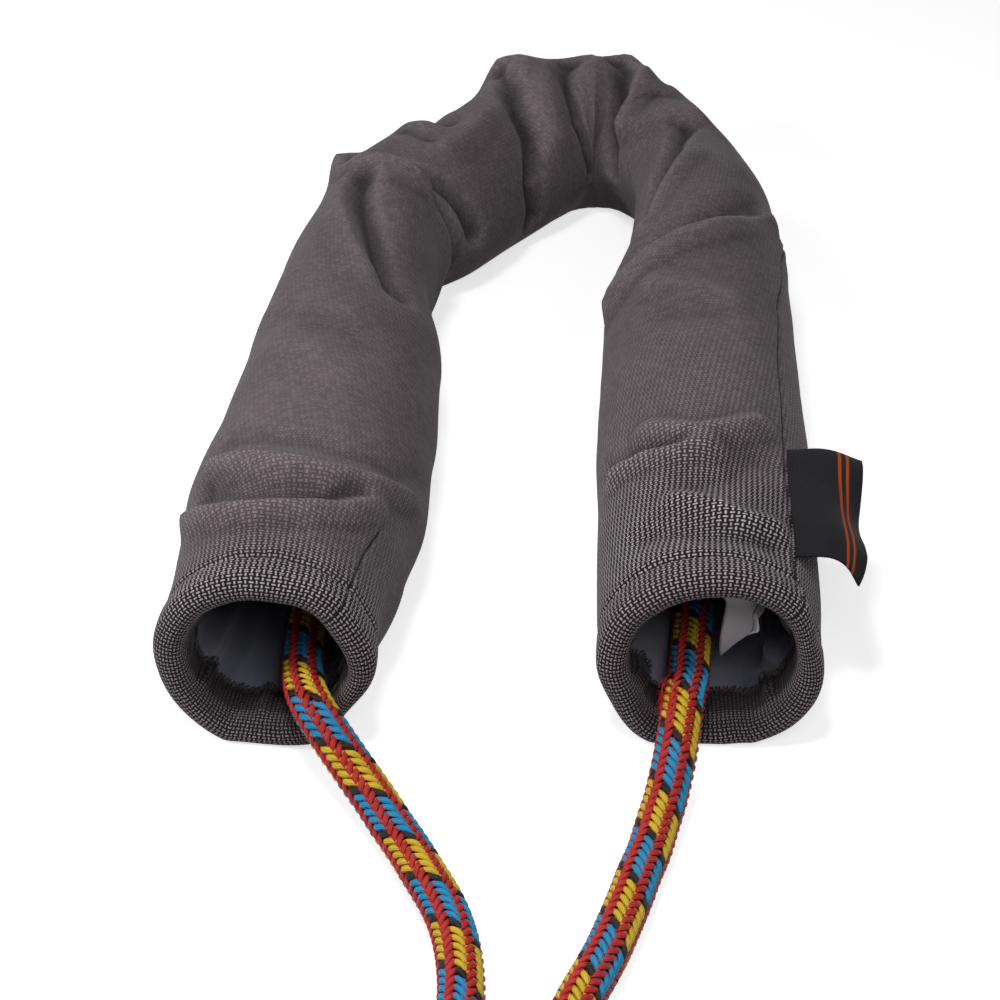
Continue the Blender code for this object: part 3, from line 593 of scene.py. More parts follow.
class Nodes:
    """A tree of nodes."""

    def __init__(self, tree: bpy.types.NodeTree) -> None:
        """Keeps the tree."""
        self.tree = tree

    def node(self, kind: str, settings: dict[str, Any] | None = None, **sockets: Any) -> Value:
        """Adds a node.

        Args:
            kind: the node's type.
            settings: its properties, set first. A key "out" names the output to return.
            sockets: values or links of its inputs, by name or by number.

        Returns:
            Its output as a value.
        """
        settings = dict(settings or {})
        out = settings.pop("out", 0)
        made = self.tree.nodes.new(kind)
        for key, value in settings.items():
            setattr(made, key, value)
        for key, value in sockets.items():
            self.feed(made.inputs[int(key) if key.isdigit() else key], value)
        return Value(self, made.outputs[out])

    def feed(self, socket: Any, value: Any) -> None:
        """Sets a socket to a number, a colour or a link."""
        if isinstance(value, Value):
            self.tree.links.new(value.socket, socket)
        elif isinstance(value, tuple) and len(value) == 3 and socket.type == "RGBA":
            socket.default_value = (*value, 1.0)
        else:
            socket.default_value = value

    def camera_light(self) -> Value:
        """One where a ray comes from the camera, from gloss or through glass."""
        rays = self.tree.nodes.new("ShaderNodeLightPath").outputs
        seen, gloss, glass = (Value(self, rays[f"Is {way} Ray"]) for way in RAYS)
        return seen.larger(gloss).larger(glass)


class Graph(Nodes):
    """The node tree of one material."""

    def __init__(self, name: str) -> None:
        """Makes the material with its Principled shader."""
        self.material = bpy.data.materials.new(name)
        self.material.use_nodes = True
        super().__init__(self.material.node_tree)
        self.shader = self.tree.nodes["Principled BSDF"]

    def blend(self, share: Value | float, start: Any, stop: Any, way: str = "MIX") -> Value:
        """Mixes two colours."""
        settings = {"data_type": "RGBA", "blend_type": way, "out": 2}
        return self.node("ShaderNodeMix", settings, **{"0": share, "6": start, "7": stop})

    def noise(self, where: Value, scale: float, detail: float = 2.0) -> Value:
        """Cloudy values from 0 to 1 over places."""
        return self.node("ShaderNodeTexNoise", {}, Vector=where, Scale=scale, Detail=detail)

    def cloth_places(self) -> tuple[Value, Value, Value]:
        """The piece's cloth coordinates in metres: along, across, and both as a vector."""
        both = self.node("ShaderNodeUVMap", {"uv_map": "cloth"})
        along = self.node("ShaderNodeSeparateXYZ", {"out": 0}, Vector=both)
        across = Value(self, along.socket.node.outputs[1])
        return along, across, both

    def body_places(self) -> Value:
        """Object coordinates."""
        return self.node("ShaderNodeTexCoord", {"out": 3})

    def emboss(self, height: Value, distance: float, strength: float = 1.0) -> None:
        """Feeds a height in units of a distance to the shader's normal."""
        named = {"Height": height, "Distance": distance, "Strength": strength}
        self.finish(Normal=self.node("ShaderNodeBump", {}, **named))

    def finish(self, **sockets: Any) -> None:
        """Sets sockets of the shader, with _ for a space in a name."""
        for key, value in sockets.items():
            self.feed(self.shader.inputs[key.replace("_", " ")], value)


class Slot(Enum):
    """The record's material slots."""

    COVER = "cover_weave"
    FOAM = "padding_foam"
    LINING = "lining_cloth"
    THREAD = "black_thread"
    LABEL = "side_label_weave"
    CARE = "care_label_satin"
    ROPE = "rope_sheath"
    SHRINK = "rope_end_shrink"


Triple = tuple[float, float, float]


@dataclass(frozen=True)
class TwoToneWeave:
    """Coarse plain weave: short light floats, turned by half a turn from cell to cell, on black."""

    pick: float = 0.00103
    end: float = 0.00158
    light: Triple = (0.58, 0.480, 0.515)
    clouded: Triple = (0.555, 0.49, 0.52)
    dark: Triple = (0.015, 0.0115, 0.013)
    brushed: Triple = (0.150, 0.124, 0.134)
    length: float = 0.7036

    def make(self) -> bpy.types.Material:
        """The finish as a material."""
        graph = Graph("woven cover")
        along, across, both = graph.cloth_places()
        sway = graph.noise(both, 260.0, 1.0) - 0.5
        u = along / self.pick + sway * 0.5
        v = across / self.end + sway * 0.35
        row, column = u.floor(), v.floor()
        off_u, off_v = abs(u - row - 0.5), abs(v - column - 0.5)
        turned = (row + column) % 2
        lying = (off_v / 0.42) ** 4 + (off_u / 0.235) ** 2
        standing = (off_v / 0.180) ** 2 + (off_u / 0.44) ** 4
        float_mask = lying.step(1.3, 0.55) * (1 - turned) + standing.step(1.35, 0.5) * turned
        hump = (1 - lying * 0.55) * (1 - turned) + (1 - standing * 0.55) * turned
        # Painted shade: each lying float darker at its middle, where it dips
        dimple_shade = (abs(off_v).step(0.0, 0.16) * 0.3 + 0.7) * (1 - turned) + turned
        cell = graph.node("ShaderNodeCombineXYZ", {}, **{"0": row, "1": column})
        chance = graph.node("ShaderNodeTexWhiteNoise", {"noise_dimensions": "2D"}, Vector=cell)
        bright = (chance * 0.34 + 0.80) * dimple_shade
        cloud = graph.noise(graph.body_places(), 26.0, 3.0)
        fine = graph.noise(graph.body_places(), 900.0, 2.0)
        # Painted shade in the folds and inside the mouths, and a painted highlight on the crests,
        # from the cover's shade attribute
        shade = graph.node("ShaderNodeAttribute", {"attribute_name": "shade", "out": 2})
        bright = bright * (1 - shade.larger(0.0) * 0.66 + (0 - shade).larger(0.0) * 0.36)
        bright = bright * (cloud.step(0.3, 0.7) * 0.20 + 0.90) * (fine * 0.3 + 0.85)
        warm = graph.blend(cloud.step(0.35, 0.65), self.light, self.clouded)
        tone = graph.node("ShaderNodeCombineColor", {}, **{"0": bright, "1": bright, "2": bright})
        yarn = graph.blend(1.0, warm, tone, "MULTIPLY")
        # Painted shade: a dark line along the seam's groove
        beside = graph.node("ShaderNodeAttribute", {"attribute_name": "seam_reach", "out": 2})
        seam_unshaded = beside.step(0.00016, 0.00050) * 0.85 + 0.15
        from_right = self.length - along
        left = along.step(0.006, 0.026) * 0.74 + along.step(0.026, 0.100) * 0.20
        right = from_right.step(0.008, 0.053) * 0.76 + from_right.step(0.060, 0.120) * 0.18
        quiet = left * right + 0.04
        weave = graph.blend(float_mask, self.dark, yarn)
        nap = graph.blend(1.0, self.brushed, tone, "MULTIPLY")
        graph.finish(Base_Color=graph.blend(seam_unshaded, self.dark, graph.blend(quiet, weave, nap)))
        graph.finish(Roughness=0.86 - float_mask * 0.18, Sheen_Weight=0.10, Sheen_Roughness=0.5)
        graph.finish(Specular_IOR_Level=0.08)
        height = float_mask * hump.larger(0.0) * 0.8 * (1 - quiet * 0.8) + (fine - 0.5) * 0.25
        graph.emboss(height, 0.00028, 0.75)
        return graph.material


@dataclass(frozen=True)
class SmoothLining:
    """Thin navy cloth with a fine twill and soft crumples."""

    colour: Triple = (0.195, 0.204, 0.270)
    clouded: Triple = (0.240, 0.247, 0.320)
    dark: Triple = (0.074, 0.078, 0.112)
    twill: float = 0.0007

    def make(self) -> bpy.types.Material:
        """The finish as a material."""
        graph = Graph("smooth lining")
        along, across, both = graph.cloth_places()
        twill = ((along + across) * (math.tau / self.twill)).sine() * 0.5 + 0.5
        cloud = graph.noise(both, 60.0, 4.0)
        crumple = graph.noise(both, 150.0, 3.0)
        shade = graph.blend(cloud, self.colour, self.clouded)
        graph.finish(Base_Color=graph.blend(twill * 0.25, shade, self.dark))
        graph.finish(Specular_IOR_Level=0.30)
        graph.finish(Roughness=cloud * 0.16 + 0.44, Sheen_Weight=0.25, Sheen_Roughness=0.4)
        broad = graph.noise(both, 38.0, 2.0)
        graph.emboss(broad * 3.2 + crumple * 0.8 + twill * 0.06, 0.0016, 0.9)
        return graph.material


@dataclass(frozen=True)
class Thread:
    """Twisted sewing thread."""

    name: str = "black thread"
    colour: Triple = (0.022, 0.020, 0.023)

    def make(self) -> bpy.types.Material:
        """The finish as a material."""
        graph = Graph(self.name)
        places = graph.body_places()
        fuzz = graph.noise(places, 3200.0, 2.0)
        cloud = graph.noise(places, 300.0, 2.0)
        pale = tuple(min(1.0, 2.1 * part + 0.01) for part in self.colour)
        graph.finish(Base_Color=graph.blend(cloud * fuzz, self.colour, pale))
        graph.finish(Roughness=fuzz * 0.2 + 0.55, Specular_IOR_Level=0.2)
        graph.emboss(fuzz, 0.00012, 0.6)
        return graph.material


@dataclass(frozen=True)
class Foam:
    """Open foam of the padding."""

    colour: Triple = (0.62, 0.60, 0.54)
    pore: Triple = (0.35, 0.33, 0.28)

    def make(self) -> bpy.types.Material:
        """The finish as a material."""
        graph = Graph("padding foam")
        cells = graph.node("ShaderNodeTexVoronoi", {}, Vector=graph.body_places(), Scale=900.0)
        # Painted shade: darker in the pores
        graph.finish(Base_Color=graph.blend(cells.step(0.1, 0.6), self.pore, self.colour))
        graph.finish(Roughness=0.9)
        graph.emboss(cells, 0.0004, 0.6)
        return graph.material


@dataclass(frozen=True)
class WovenTape:
    """Black woven label tape with two plain stripes along its free edge."""

    width: float = 0.0220
    ground: Triple = (0.008, 0.008, 0.010)
    worn: Triple = (0.020, 0.020, 0.024)
    stripe: Triple = (0.66, 0.105, 0.022)
    stripes: tuple[float, float] = (0.0048, 0.0072)
    rib: float = 0.00055
    pick: float = 0.00042

    def make(self) -> bpy.types.Material:
        """The finish as a material."""
        graph = Graph("woven label")
        along, across, both = graph.cloth_places()
        rib = (across * (math.tau / self.rib)).sine() * 0.5 + 0.5
        pick = (along * (math.tau / self.pick)).sine() * 0.5 + 0.5
        outer, inner = (
            abs(across - (self.width - middle)).step(0.00062, 0.00036) for middle in self.stripes
        )
        stripes = outer.larger(inner)
        worn = graph.noise(both, 1500.0, 3.0)
        ground = graph.blend(rib * pick, self.ground, self.worn)
        shade = graph.blend(stripes * (worn * 0.35 + 0.75) * (rib * 0.3 + 0.7), ground, self.stripe)
        graph.finish(Base_Color=shade, Roughness=worn * 0.2 + 0.6, Specular_IOR_Level=0.10)
        graph.emboss(rib * 0.6 + pick * 0.4 + stripes * 0.8, 0.00010, 0.7)
        return graph.material


@dataclass(frozen=True)
class Satin:
    """White satin label with one thin dark line beside its edge."""

    width: float = 0.0120
    colour: Triple = (0.86, 0.84, 0.88)
    hollow: Triple = (0.78, 0.76, 0.81)
    line: Triple = (0.05, 0.05, 0.06)
    line_share: float = 0.20
    rib: float = 0.0004

    def make(self) -> bpy.types.Material:
        """The finish as a material."""
        graph = Graph("satin label")
        along, across, both = graph.cloth_places()
        line = abs(across - self.width * self.line_share).step(0.00032, 0.00016)
        rib = (along * (math.tau / self.rib)).sine() * 0.5 + 0.5
        soft = graph.noise(both, 400.0, 2.0)
        cloth = graph.blend(soft * rib, self.colour, self.hollow)
        graph.finish(Base_Color=graph.blend(line * 0.9, cloth, self.line))
        graph.finish(Roughness=soft * 0.2 + 0.36, Sheen_Weight=0.2)
        graph.emboss(rib, 0.00005, 0.5)
        return graph.material


@dataclass(frozen=True)
class RopeYarn:
    """A strand of filaments lying side by side."""

    name: str
    colour: Triple
    shine: float = 0.40

    def make(self) -> bpy.types.Material:
        """The finish as a material."""
        graph = Graph(self.name)
        along, across, both = graph.cloth_places()
        waver = graph.noise(both, 900.0, 1.0) - 0.5
        thread = (across * 9500.0 + along * 1500.0 + waver * 5.0).sine() * 0.5 + 0.5
        cloud = graph.noise(graph.body_places(), 190.0, 3.0)
        dark = tuple(part * 0.50 for part in self.colour)
        pale = tuple(min(1.0, part * 1.12 + 0.02) for part in self.colour)
        shade = graph.blend(cloud.step(0.3, 0.7), self.colour, pale)
        # Painted shade: darker in the grooves between the filaments
        graph.finish(Base_Color=graph.blend((1 - thread) * 0.45, shade, dark))
        graph.finish(Roughness=cloud * 0.18 + self.shine, Specular_IOR_Level=0.22)
        graph.emboss(thread + waver, 0.00013, 0.75)
        return graph.material


@dataclass(frozen=True)
class ShrinkPlastic:
    """Black shrink sleeve, drawn on tight."""

    colour: Triple = (0.018, 0.018, 0.019)
    rubbed: Triple = (0.06, 0.06, 0.062)

    def make(self) -> bpy.types.Material:
        """The finish as a material."""
        graph = Graph("shrink sleeve")
        places = graph.body_places()
        rub = graph.noise(places, 160.0, 4.0)
        graph.finish(Base_Color=graph.blend(rub.step(0.5, 0.8), self.colour, self.rubbed))
        graph.finish(Roughness=rub * 0.25 + 0.32, IOR=1.5)
        graph.emboss(graph.noise(places, 420.0, 2.0), 0.0003, 0.5)
        return graph.material


@dataclass(frozen=True)
class ThreadRow:
    """Short pieces of thread along a line on the cloth, made by Geometry Nodes."""

    pitch: float
    length: float
    radius: float
    arch: float
    lean: float = 0.0
    jitter: float = 0.0
    tumble: float = 0.0
    seed: int = 1

    def tree(self) -> bpy.types.NodeTree:
        """Builds the node tree, with named inputs for its sizes."""
        tree = bpy.data.node_groups.new("thread row", "GeometryNodeTree")
        tree.is_modifier = True
        socket = tree.interface.new_socket
        socket("Geometry", in_out="OUTPUT", socket_type="NodeSocketGeometry")
        socket("Line", in_out="INPUT", socket_type="NodeSocketGeometry")
        for field, value in asdict(self).items():
            kind = "Int" if isinstance(value, int) else "Float"
            socket(field.title(), in_out="INPUT", socket_type=f"NodeSocket{kind}")
        socket("Material", in_out="INPUT", socket_type="NodeSocketMaterial")
        nodes = Nodes(tree)
        node = nodes.node
        group = tree.nodes.new("NodeGroupInput")
        given = {socket.name: Value(nodes, socket) for socket in group.outputs}
        length, jitter, seed = given["Length"], given["Jitter"], given["Seed"]
        stop = node("ShaderNodeCombineXYZ", X=length * 0.5)
        start = node("ShaderNodeCombineXYZ", X=length * -0.5)
        middle = node("ShaderNodeCombineXYZ", Z=given["Arch"])
        ends = {"Start": start, "Middle": middle, "End": stop}
        bow = node("GeometryNodeCurveQuadraticBezier", Resolution=6, **ends)
        ring = node("GeometryNodeCurvePrimitiveCircle", Resolution=6, Radius=given["Radius"])
        caps = {"0": bow, "Profile Curve": ring, "Fill Caps": True}
        stitch = node("GeometryNodeCurveToMesh", **caps)
        line = node("GeometryNodeMeshToCurve", Mesh=given["Line"])
        even = {"mode": "LENGTH"}
        spaced = node("GeometryNodeResampleCurve", even, Curve=line, Length=given["Pitch"])
        vector = {"data_type": "FLOAT_VECTOR"}
        upward = node("GeometryNodeInputNamedAttribute", vector, Name="upward")
        align = "FunctionNodeAlignRotationToVector"
        laid = node(align, {"axis": "X"}, Vector=node("GeometryNodeInputTangent"))
        laid = node(align, {"axis": "Z", "pivot_axis": "X"}, Rotation=laid, Vector=upward)
        spread = {"2": jitter * -1.0, "3": jitter, "Seed": seed}
        spread = node("FunctionNodeRandomValue", {"data_type": "FLOAT", "out": 1}, **spread)
        lean = node("FunctionNodeAxisAngleToRotation", Angle=spread + given["Lean"])
        swing = {"0": (-1.0, -1.0, -1.0), "1": (1.0, 1.0, 1.0), "Seed": seed}
        swing = node("FunctionNodeRandomValue", vector, **swing)
        scale = {"operation": "SCALE"}
        swing = node("ShaderNodeVectorMath", scale, **{"0": swing, "Scale": given["Tumble"]})
        for way in (lean, node("FunctionNodeEulerToRotation", **{"0": swing})):
            local = {"rotation_space": "LOCAL"}
            ways = {"Rotation": laid, "Rotate By": way}
            laid = node("FunctionNodeRotateRotation", local, **ways)
        ways = {"Points": spaced, "Instance": stitch, "Rotation": laid}
        placed = node("GeometryNodeInstanceOnPoints", **ways)
        whole = node("GeometryNodeRealizeInstances", Geometry=placed)
        smooth = node("GeometryNodeSetShadeSmooth", **{"0": whole})
        ways = {"Geometry": smooth, "Material": given["Material"]}
        dressed = node("GeometryNodeSetMaterial", **ways)
        nodes.feed(tree.nodes.new("NodeGroupOutput").inputs[0], dressed)
        return tree

    def sew(
        self, name: str, places: Array, upward: Array, material: bpy.types.Material, closed: bool
    ) -> bpy.types.Object:
        """Lays the row along a line of places.

        Args:
            name: the piece's name.
            places: the line, one row each.
            upward: the direction out of the cloth at each place.
            material: the thread's material.
            closed: whether the line is a ring.

        Returns:
            The row as a plain mesh object.
        """
        count = len(places)
        edges = [(i, (i + 1) % count) for i in range(count if closed else count - 1)]
        mesh = bpy.data.meshes.new(name)
        mesh.from_pydata(places.tolist(), edges, [])
        attribute = mesh.attributes.new("upward", "FLOAT_VECTOR", "POINT")
        attribute.data.foreach_set("vector", np.ascontiguousarray(upward, np.float32).ravel())
        piece = put(name + "_line", mesh)
        modifier = piece.modifiers.new("thread row", "NODES")
        modifier.node_group = self.tree()
        given = {field.title(): value for field, value in asdict(self).items()}
        given["Material"] = material
        for item in modifier.node_group.interface.items_tree:
            if item.in_out == "INPUT" and item.name in given:
                modifier[item.identifier] = given[item.name]
        bpy.context.view_layer.update()
        graph = bpy.context.evaluated_depsgraph_get()
        made = bpy.data.meshes.new_from_object(piece.evaluated_get(graph))
        bpy.data.objects.remove(piece)
        made.name = name
        return put(name, made)


def loop_mesh(name: str, rows: Sequence[Array], widths: Sequence[Array]) -> bpy.types.Object:
    """Makes a closed shell of rows of places that go round the sleeve.

    Args:
        name: the piece's name.
        rows: one array of places for each row, the last row joining the first.
        widths: cloth coordinates round the sleeve for each row, one more than its places.

    Returns:
        The new object.
    """
    lengths = [0.0]
    for first, second in zip(rows, [*rows[1:], rows[0]]):
        lengths.append(lengths[-1] + float(np.median(np.linalg.norm(second - first, axis=1))))
    places, widths = np.stack(rows), np.array([*widths, widths[0]])
    faces, corners = grid_faces(places.shape[0], places.shape[1], True, True)
    cloth = np.stack([np.broadcast_to(np.array(lengths)[:, None], widths.shape), widths], -1)
    return put_mesh(name, places.reshape(-1, 3), faces, cloth.reshape(-1, 2)[corners.reshape(-1)])


@dataclass
class Cover:
    """The woven cover: outer wall, rolled mouths, turned-in facings and an inner face."""

    shape: SleeveShape
    ring_step: float = 0.0017
    hem_ring_step: float = 0.0007
    hem_zone: float = 0.019
    facing_rows: int = 15
    lip_rows: int = 13
    inner_start: float = 0.018
    inner_rows: int = 116
    column_step: float = 0.0015
    near_seam: tuple[float, ...] = (0.0, 0.00025, 0.0005, 0.0008, 0.0012, 0.0017, 0.0024, 0.0033)
    seam_groove: float = 0.0006
    seam_width: float = 0.00042
    seam_roll: float = 0.00040
    gather: float = 0.0036
    label_angle: float = 108.0
    label_hold: float = 30.0
    seam_allowance: float = 0.003
    edge_waver: float = 0.0011
    inner_depth: float = 0.0024
    stitch_groove: float = 0.0006
    stitch_width: float = 0.0008
    stitch_reach: float = 0.006
    roll_aside: float = 0.0016
    roll_width: float = 0.0011
    pucker_pitch: float = 0.0068
    ripples: tuple[tuple[float, int, int, float], ...] = (
        (0.00030, 3, 7, 0.031),
        (0.00012, 5, 15, 0.013),
    )
    seam_lost: Table = ((0.056, 0.0), (0.068, 1.0), (0.180, 1.0), (0.230, 0.0))
    weave_twist: Table = ((0.0, 0.0), (0.33, 0.0395), (0.55, 0.040), (1.0, 0.0))

    def columns(self) -> Array:
        """Angles from the seam of the columns, close together beside it."""
        near = np.array(self.near_seam) / self.shape.half_width
        wide = math.tau - 2 * near[-1]
        count = round(wide * self.shape.half_width / self.column_step)
        between = near[-1] + wide * np.arange(1, count) / count
        return np.concatenate([near, between, math.tau - near[:0:-1]])

    def off_seam(self, columns: Array) -> Array:
        """Metres round the sleeve from the seam to columns."""
        return ((columns + math.pi) % math.tau - math.pi) * self.shape.half_width

    def outside_lift(self, distance: Array, angle: Array, across: Array) -> Array:
        """How far the outer wall stands out at places, across being metres from the seam."""
        shape = self.shape
        lift = shape.wall_lift(distance, angle) - shape.stitch_draw(distance, 0.0)
        lift += shape.hem_lift(distance)
        from_mouth = shape.from_mouth(distance)
        for tall, seed, waves, reach in self.ripples:
            lift += tall * Ripple(seed, waves, reach).at(distance, angle)
        off_stitch = from_mouth - shape.hem_stitch
        near_stitch = bell(off_stitch, self.stitch_reach)
        lift += 0.00030 * near_stitch * Ripple(7, 30, 0.008).at(distance, angle)
        lift -= self.stitch_groove * bell(off_stitch, self.stitch_width)
        rolls = bell(np.abs(across) - self.roll_aside, self.roll_width)
        pucker = 1 + 0.35 * np.sin(distance * math.tau / self.pucker_pitch)
        inland = np.clip(from_mouth / 0.004, 0, 1)
        groove = bell(across, self.seam_width)
        inland = inland * (1 - lookup(self.seam_lost, distance / shape.length))
        return lift + (self.seam_roll * rolls * pucker - self.seam_groove * groove) * inland

    def seam_hidden(self, distance: float) -> float:
        """How far the seam's painted groove shade is lost in the fold that it runs into."""
        return 0.0005 * float(lookup(self.seam_lost, distance / self.shape.length))

    def shade(self, distance: float, depth: float, angle: Array, kind: str) -> Array:
        """Painted shade of the cloth in a fold, towards the foot of a mouth and deeper inside it;
        below zero, a painted highlight on a crest.
        """
        if kind == "outer":
            return self.shape.read(self.shape.cavity, np.full(len(angle), distance), angle)
        from_mouth = min(distance, self.shape.length - distance)
        # Painted shade inside the mouths: darker towards their foot, as under the shadow of the
        # upper lip, and darker deeper into the facing
        foot = 0.12 + 0.78 * np.clip(0.2 - 1.3 * np.sin(angle), 0, 1)
        if kind == "lip":
            return foot * min(max((depth / self.shape.wall - 0.40) / 0.45, 0.0), 1.0)
        return np.maximum(foot, min(max((from_mouth - 0.0026) / 0.0034, 0.0), 1.30))

    def facing_lift(self, distance: Array, angle: Array) -> Array:
        """How far the gathered facing stands into the bore, as a negative lift."""
        shape = self.shape
        from_mouth = shape.from_mouth(distance)
        inside = np.clip((from_mouth - 0.003) / 0.006, 0, 1)
        pleats = np.maximum(0.0, Ripple(11, 34, 0.040).at(distance, angle)) ** 1.1
        fine = Ripple(13, 60, 0.006).at(distance, angle)
        off_label = np.degrees(angle) % 360 - self.label_angle
        held = bell(off_label, self.label_hold) * (distance > shape.length / 2)
        gather = self.gather * (1 - 0.95 * held)
        return -gather * inside**1.5 * pleats - 0.00025 * inside * (fine + 1)

    def edge_shift(self, distance: Array, angle: Array) -> Array:
        """How far the facing's edge strays from its even ring, as a change of distance."""
        shape = self.shape
        from_mouth = shape.from_mouth(distance)
        share = np.clip((from_mouth - shape.wall / 2) / (shape.hem_turn - shape.wall / 2), 0, 1)
        wave = Ripple(41, 17, 0.050).at(distance, angle)
        wave = wave + 0.4 * Ripple(42, 40, 0.05).at(distance, angle)
        return self.edge_waver * share * wave * np.where(distance < shape.length / 2, 1, -1)

    def build(self, material: bpy.types.Material) -> None:
        """Builds the cover in its weave."""
        shape = self.shape
        length, half_wall = shape.length, shape.wall / 2
        zone, start = self.hem_zone, self.inner_start
        hem = np.arange(half_wall, zone, self.hem_ring_step)
        count = round((length - 2 * zone) / self.ring_step)
        middle = zone + (length - 2 * zone) * np.arange(count + 1) / count
        outer = np.concatenate([hem, middle, length - hem[::-1]])
        facing = np.linspace(half_wall, shape.hem_turn, self.facing_rows)
        hidden = np.linspace(length - start, start, self.inner_rows)
        turns = np.radians(np.linspace(-90, 90, self.lip_rows + 2)[1:-1])
        lip_distance = half_wall * (1 - np.cos(turns))
        lip_depth = half_wall * (1 + np.sin(turns))
        back = facing[::-1][:-1:2]
        parts = [
            (outer, np.zeros(len(outer)), "outer"),
            (length - lip_distance, lip_depth, "lip"),
            (length - facing, np.full(len(facing), shape.wall), "facing"),
            (length - back, np.full(len(back), shape.facing_top), "facing"),
            (hidden, np.full(len(hidden), self.inner_depth), "inner"),
            (back[::-1], np.full(len(back), shape.facing_top), "facing"),
            (facing[::-1], np.full(len(facing), shape.wall), "facing"),
            (lip_distance[::-1], lip_depth[::-1], "lip"),
        ]
        columns = self.columns()
        across = self.off_seam(columns)
        rows, widths, reaches, painted_shades = [], [], [], []
        for distances, depths, kind in parts:
            for distance, depth in zip(distances, depths):
                angle = shape.seam_angle(distance) + columns
                at = np.full(len(columns), distance)
                if kind == "outer":
                    lift = self.outside_lift(at, angle, across)
                elif kind == "inner":
                    lift = shape.sunk_lift(at, angle)
                elif kind == "facing":
                    lift = self.facing_lift(at, angle)
                    at = at + self.edge_shift(at, angle)
                else:
                    share = depth / shape.wall
                    lift = (1 - share) * self.outside_lift(at, angle, across)
                    lift = lift + share * self.facing_lift(at, angle)
                rows.append(shape.place(at, angle, depth, lift))
                reaches.append(np.abs(across) + self.seam_hidden(distance))
                painted_shades.append(self.shade(distance, depth, angle, kind))
                twist = float(lookup(self.weave_twist, distance / length))
                turn = np.append(columns, math.tau) + shape.seam_angle(distance)
                widths.append(turn * shape.half_width - twist)
        cover = loop_mesh("woven_cover", rows, widths)
        # The shade attribute carries the painted shade and painted highlight to the weave's colour
        for name, values in (("seam_reach", reaches), ("shade", painted_shades)):
            field = cover.data.attributes.new(name, "FLOAT", "POINT")
            field.data.foreach_set("value", np.concatenate(values).astype(np.float32))
        keep(cover, "sleeve", Slot.COVER, ["outer_cover"], [material])


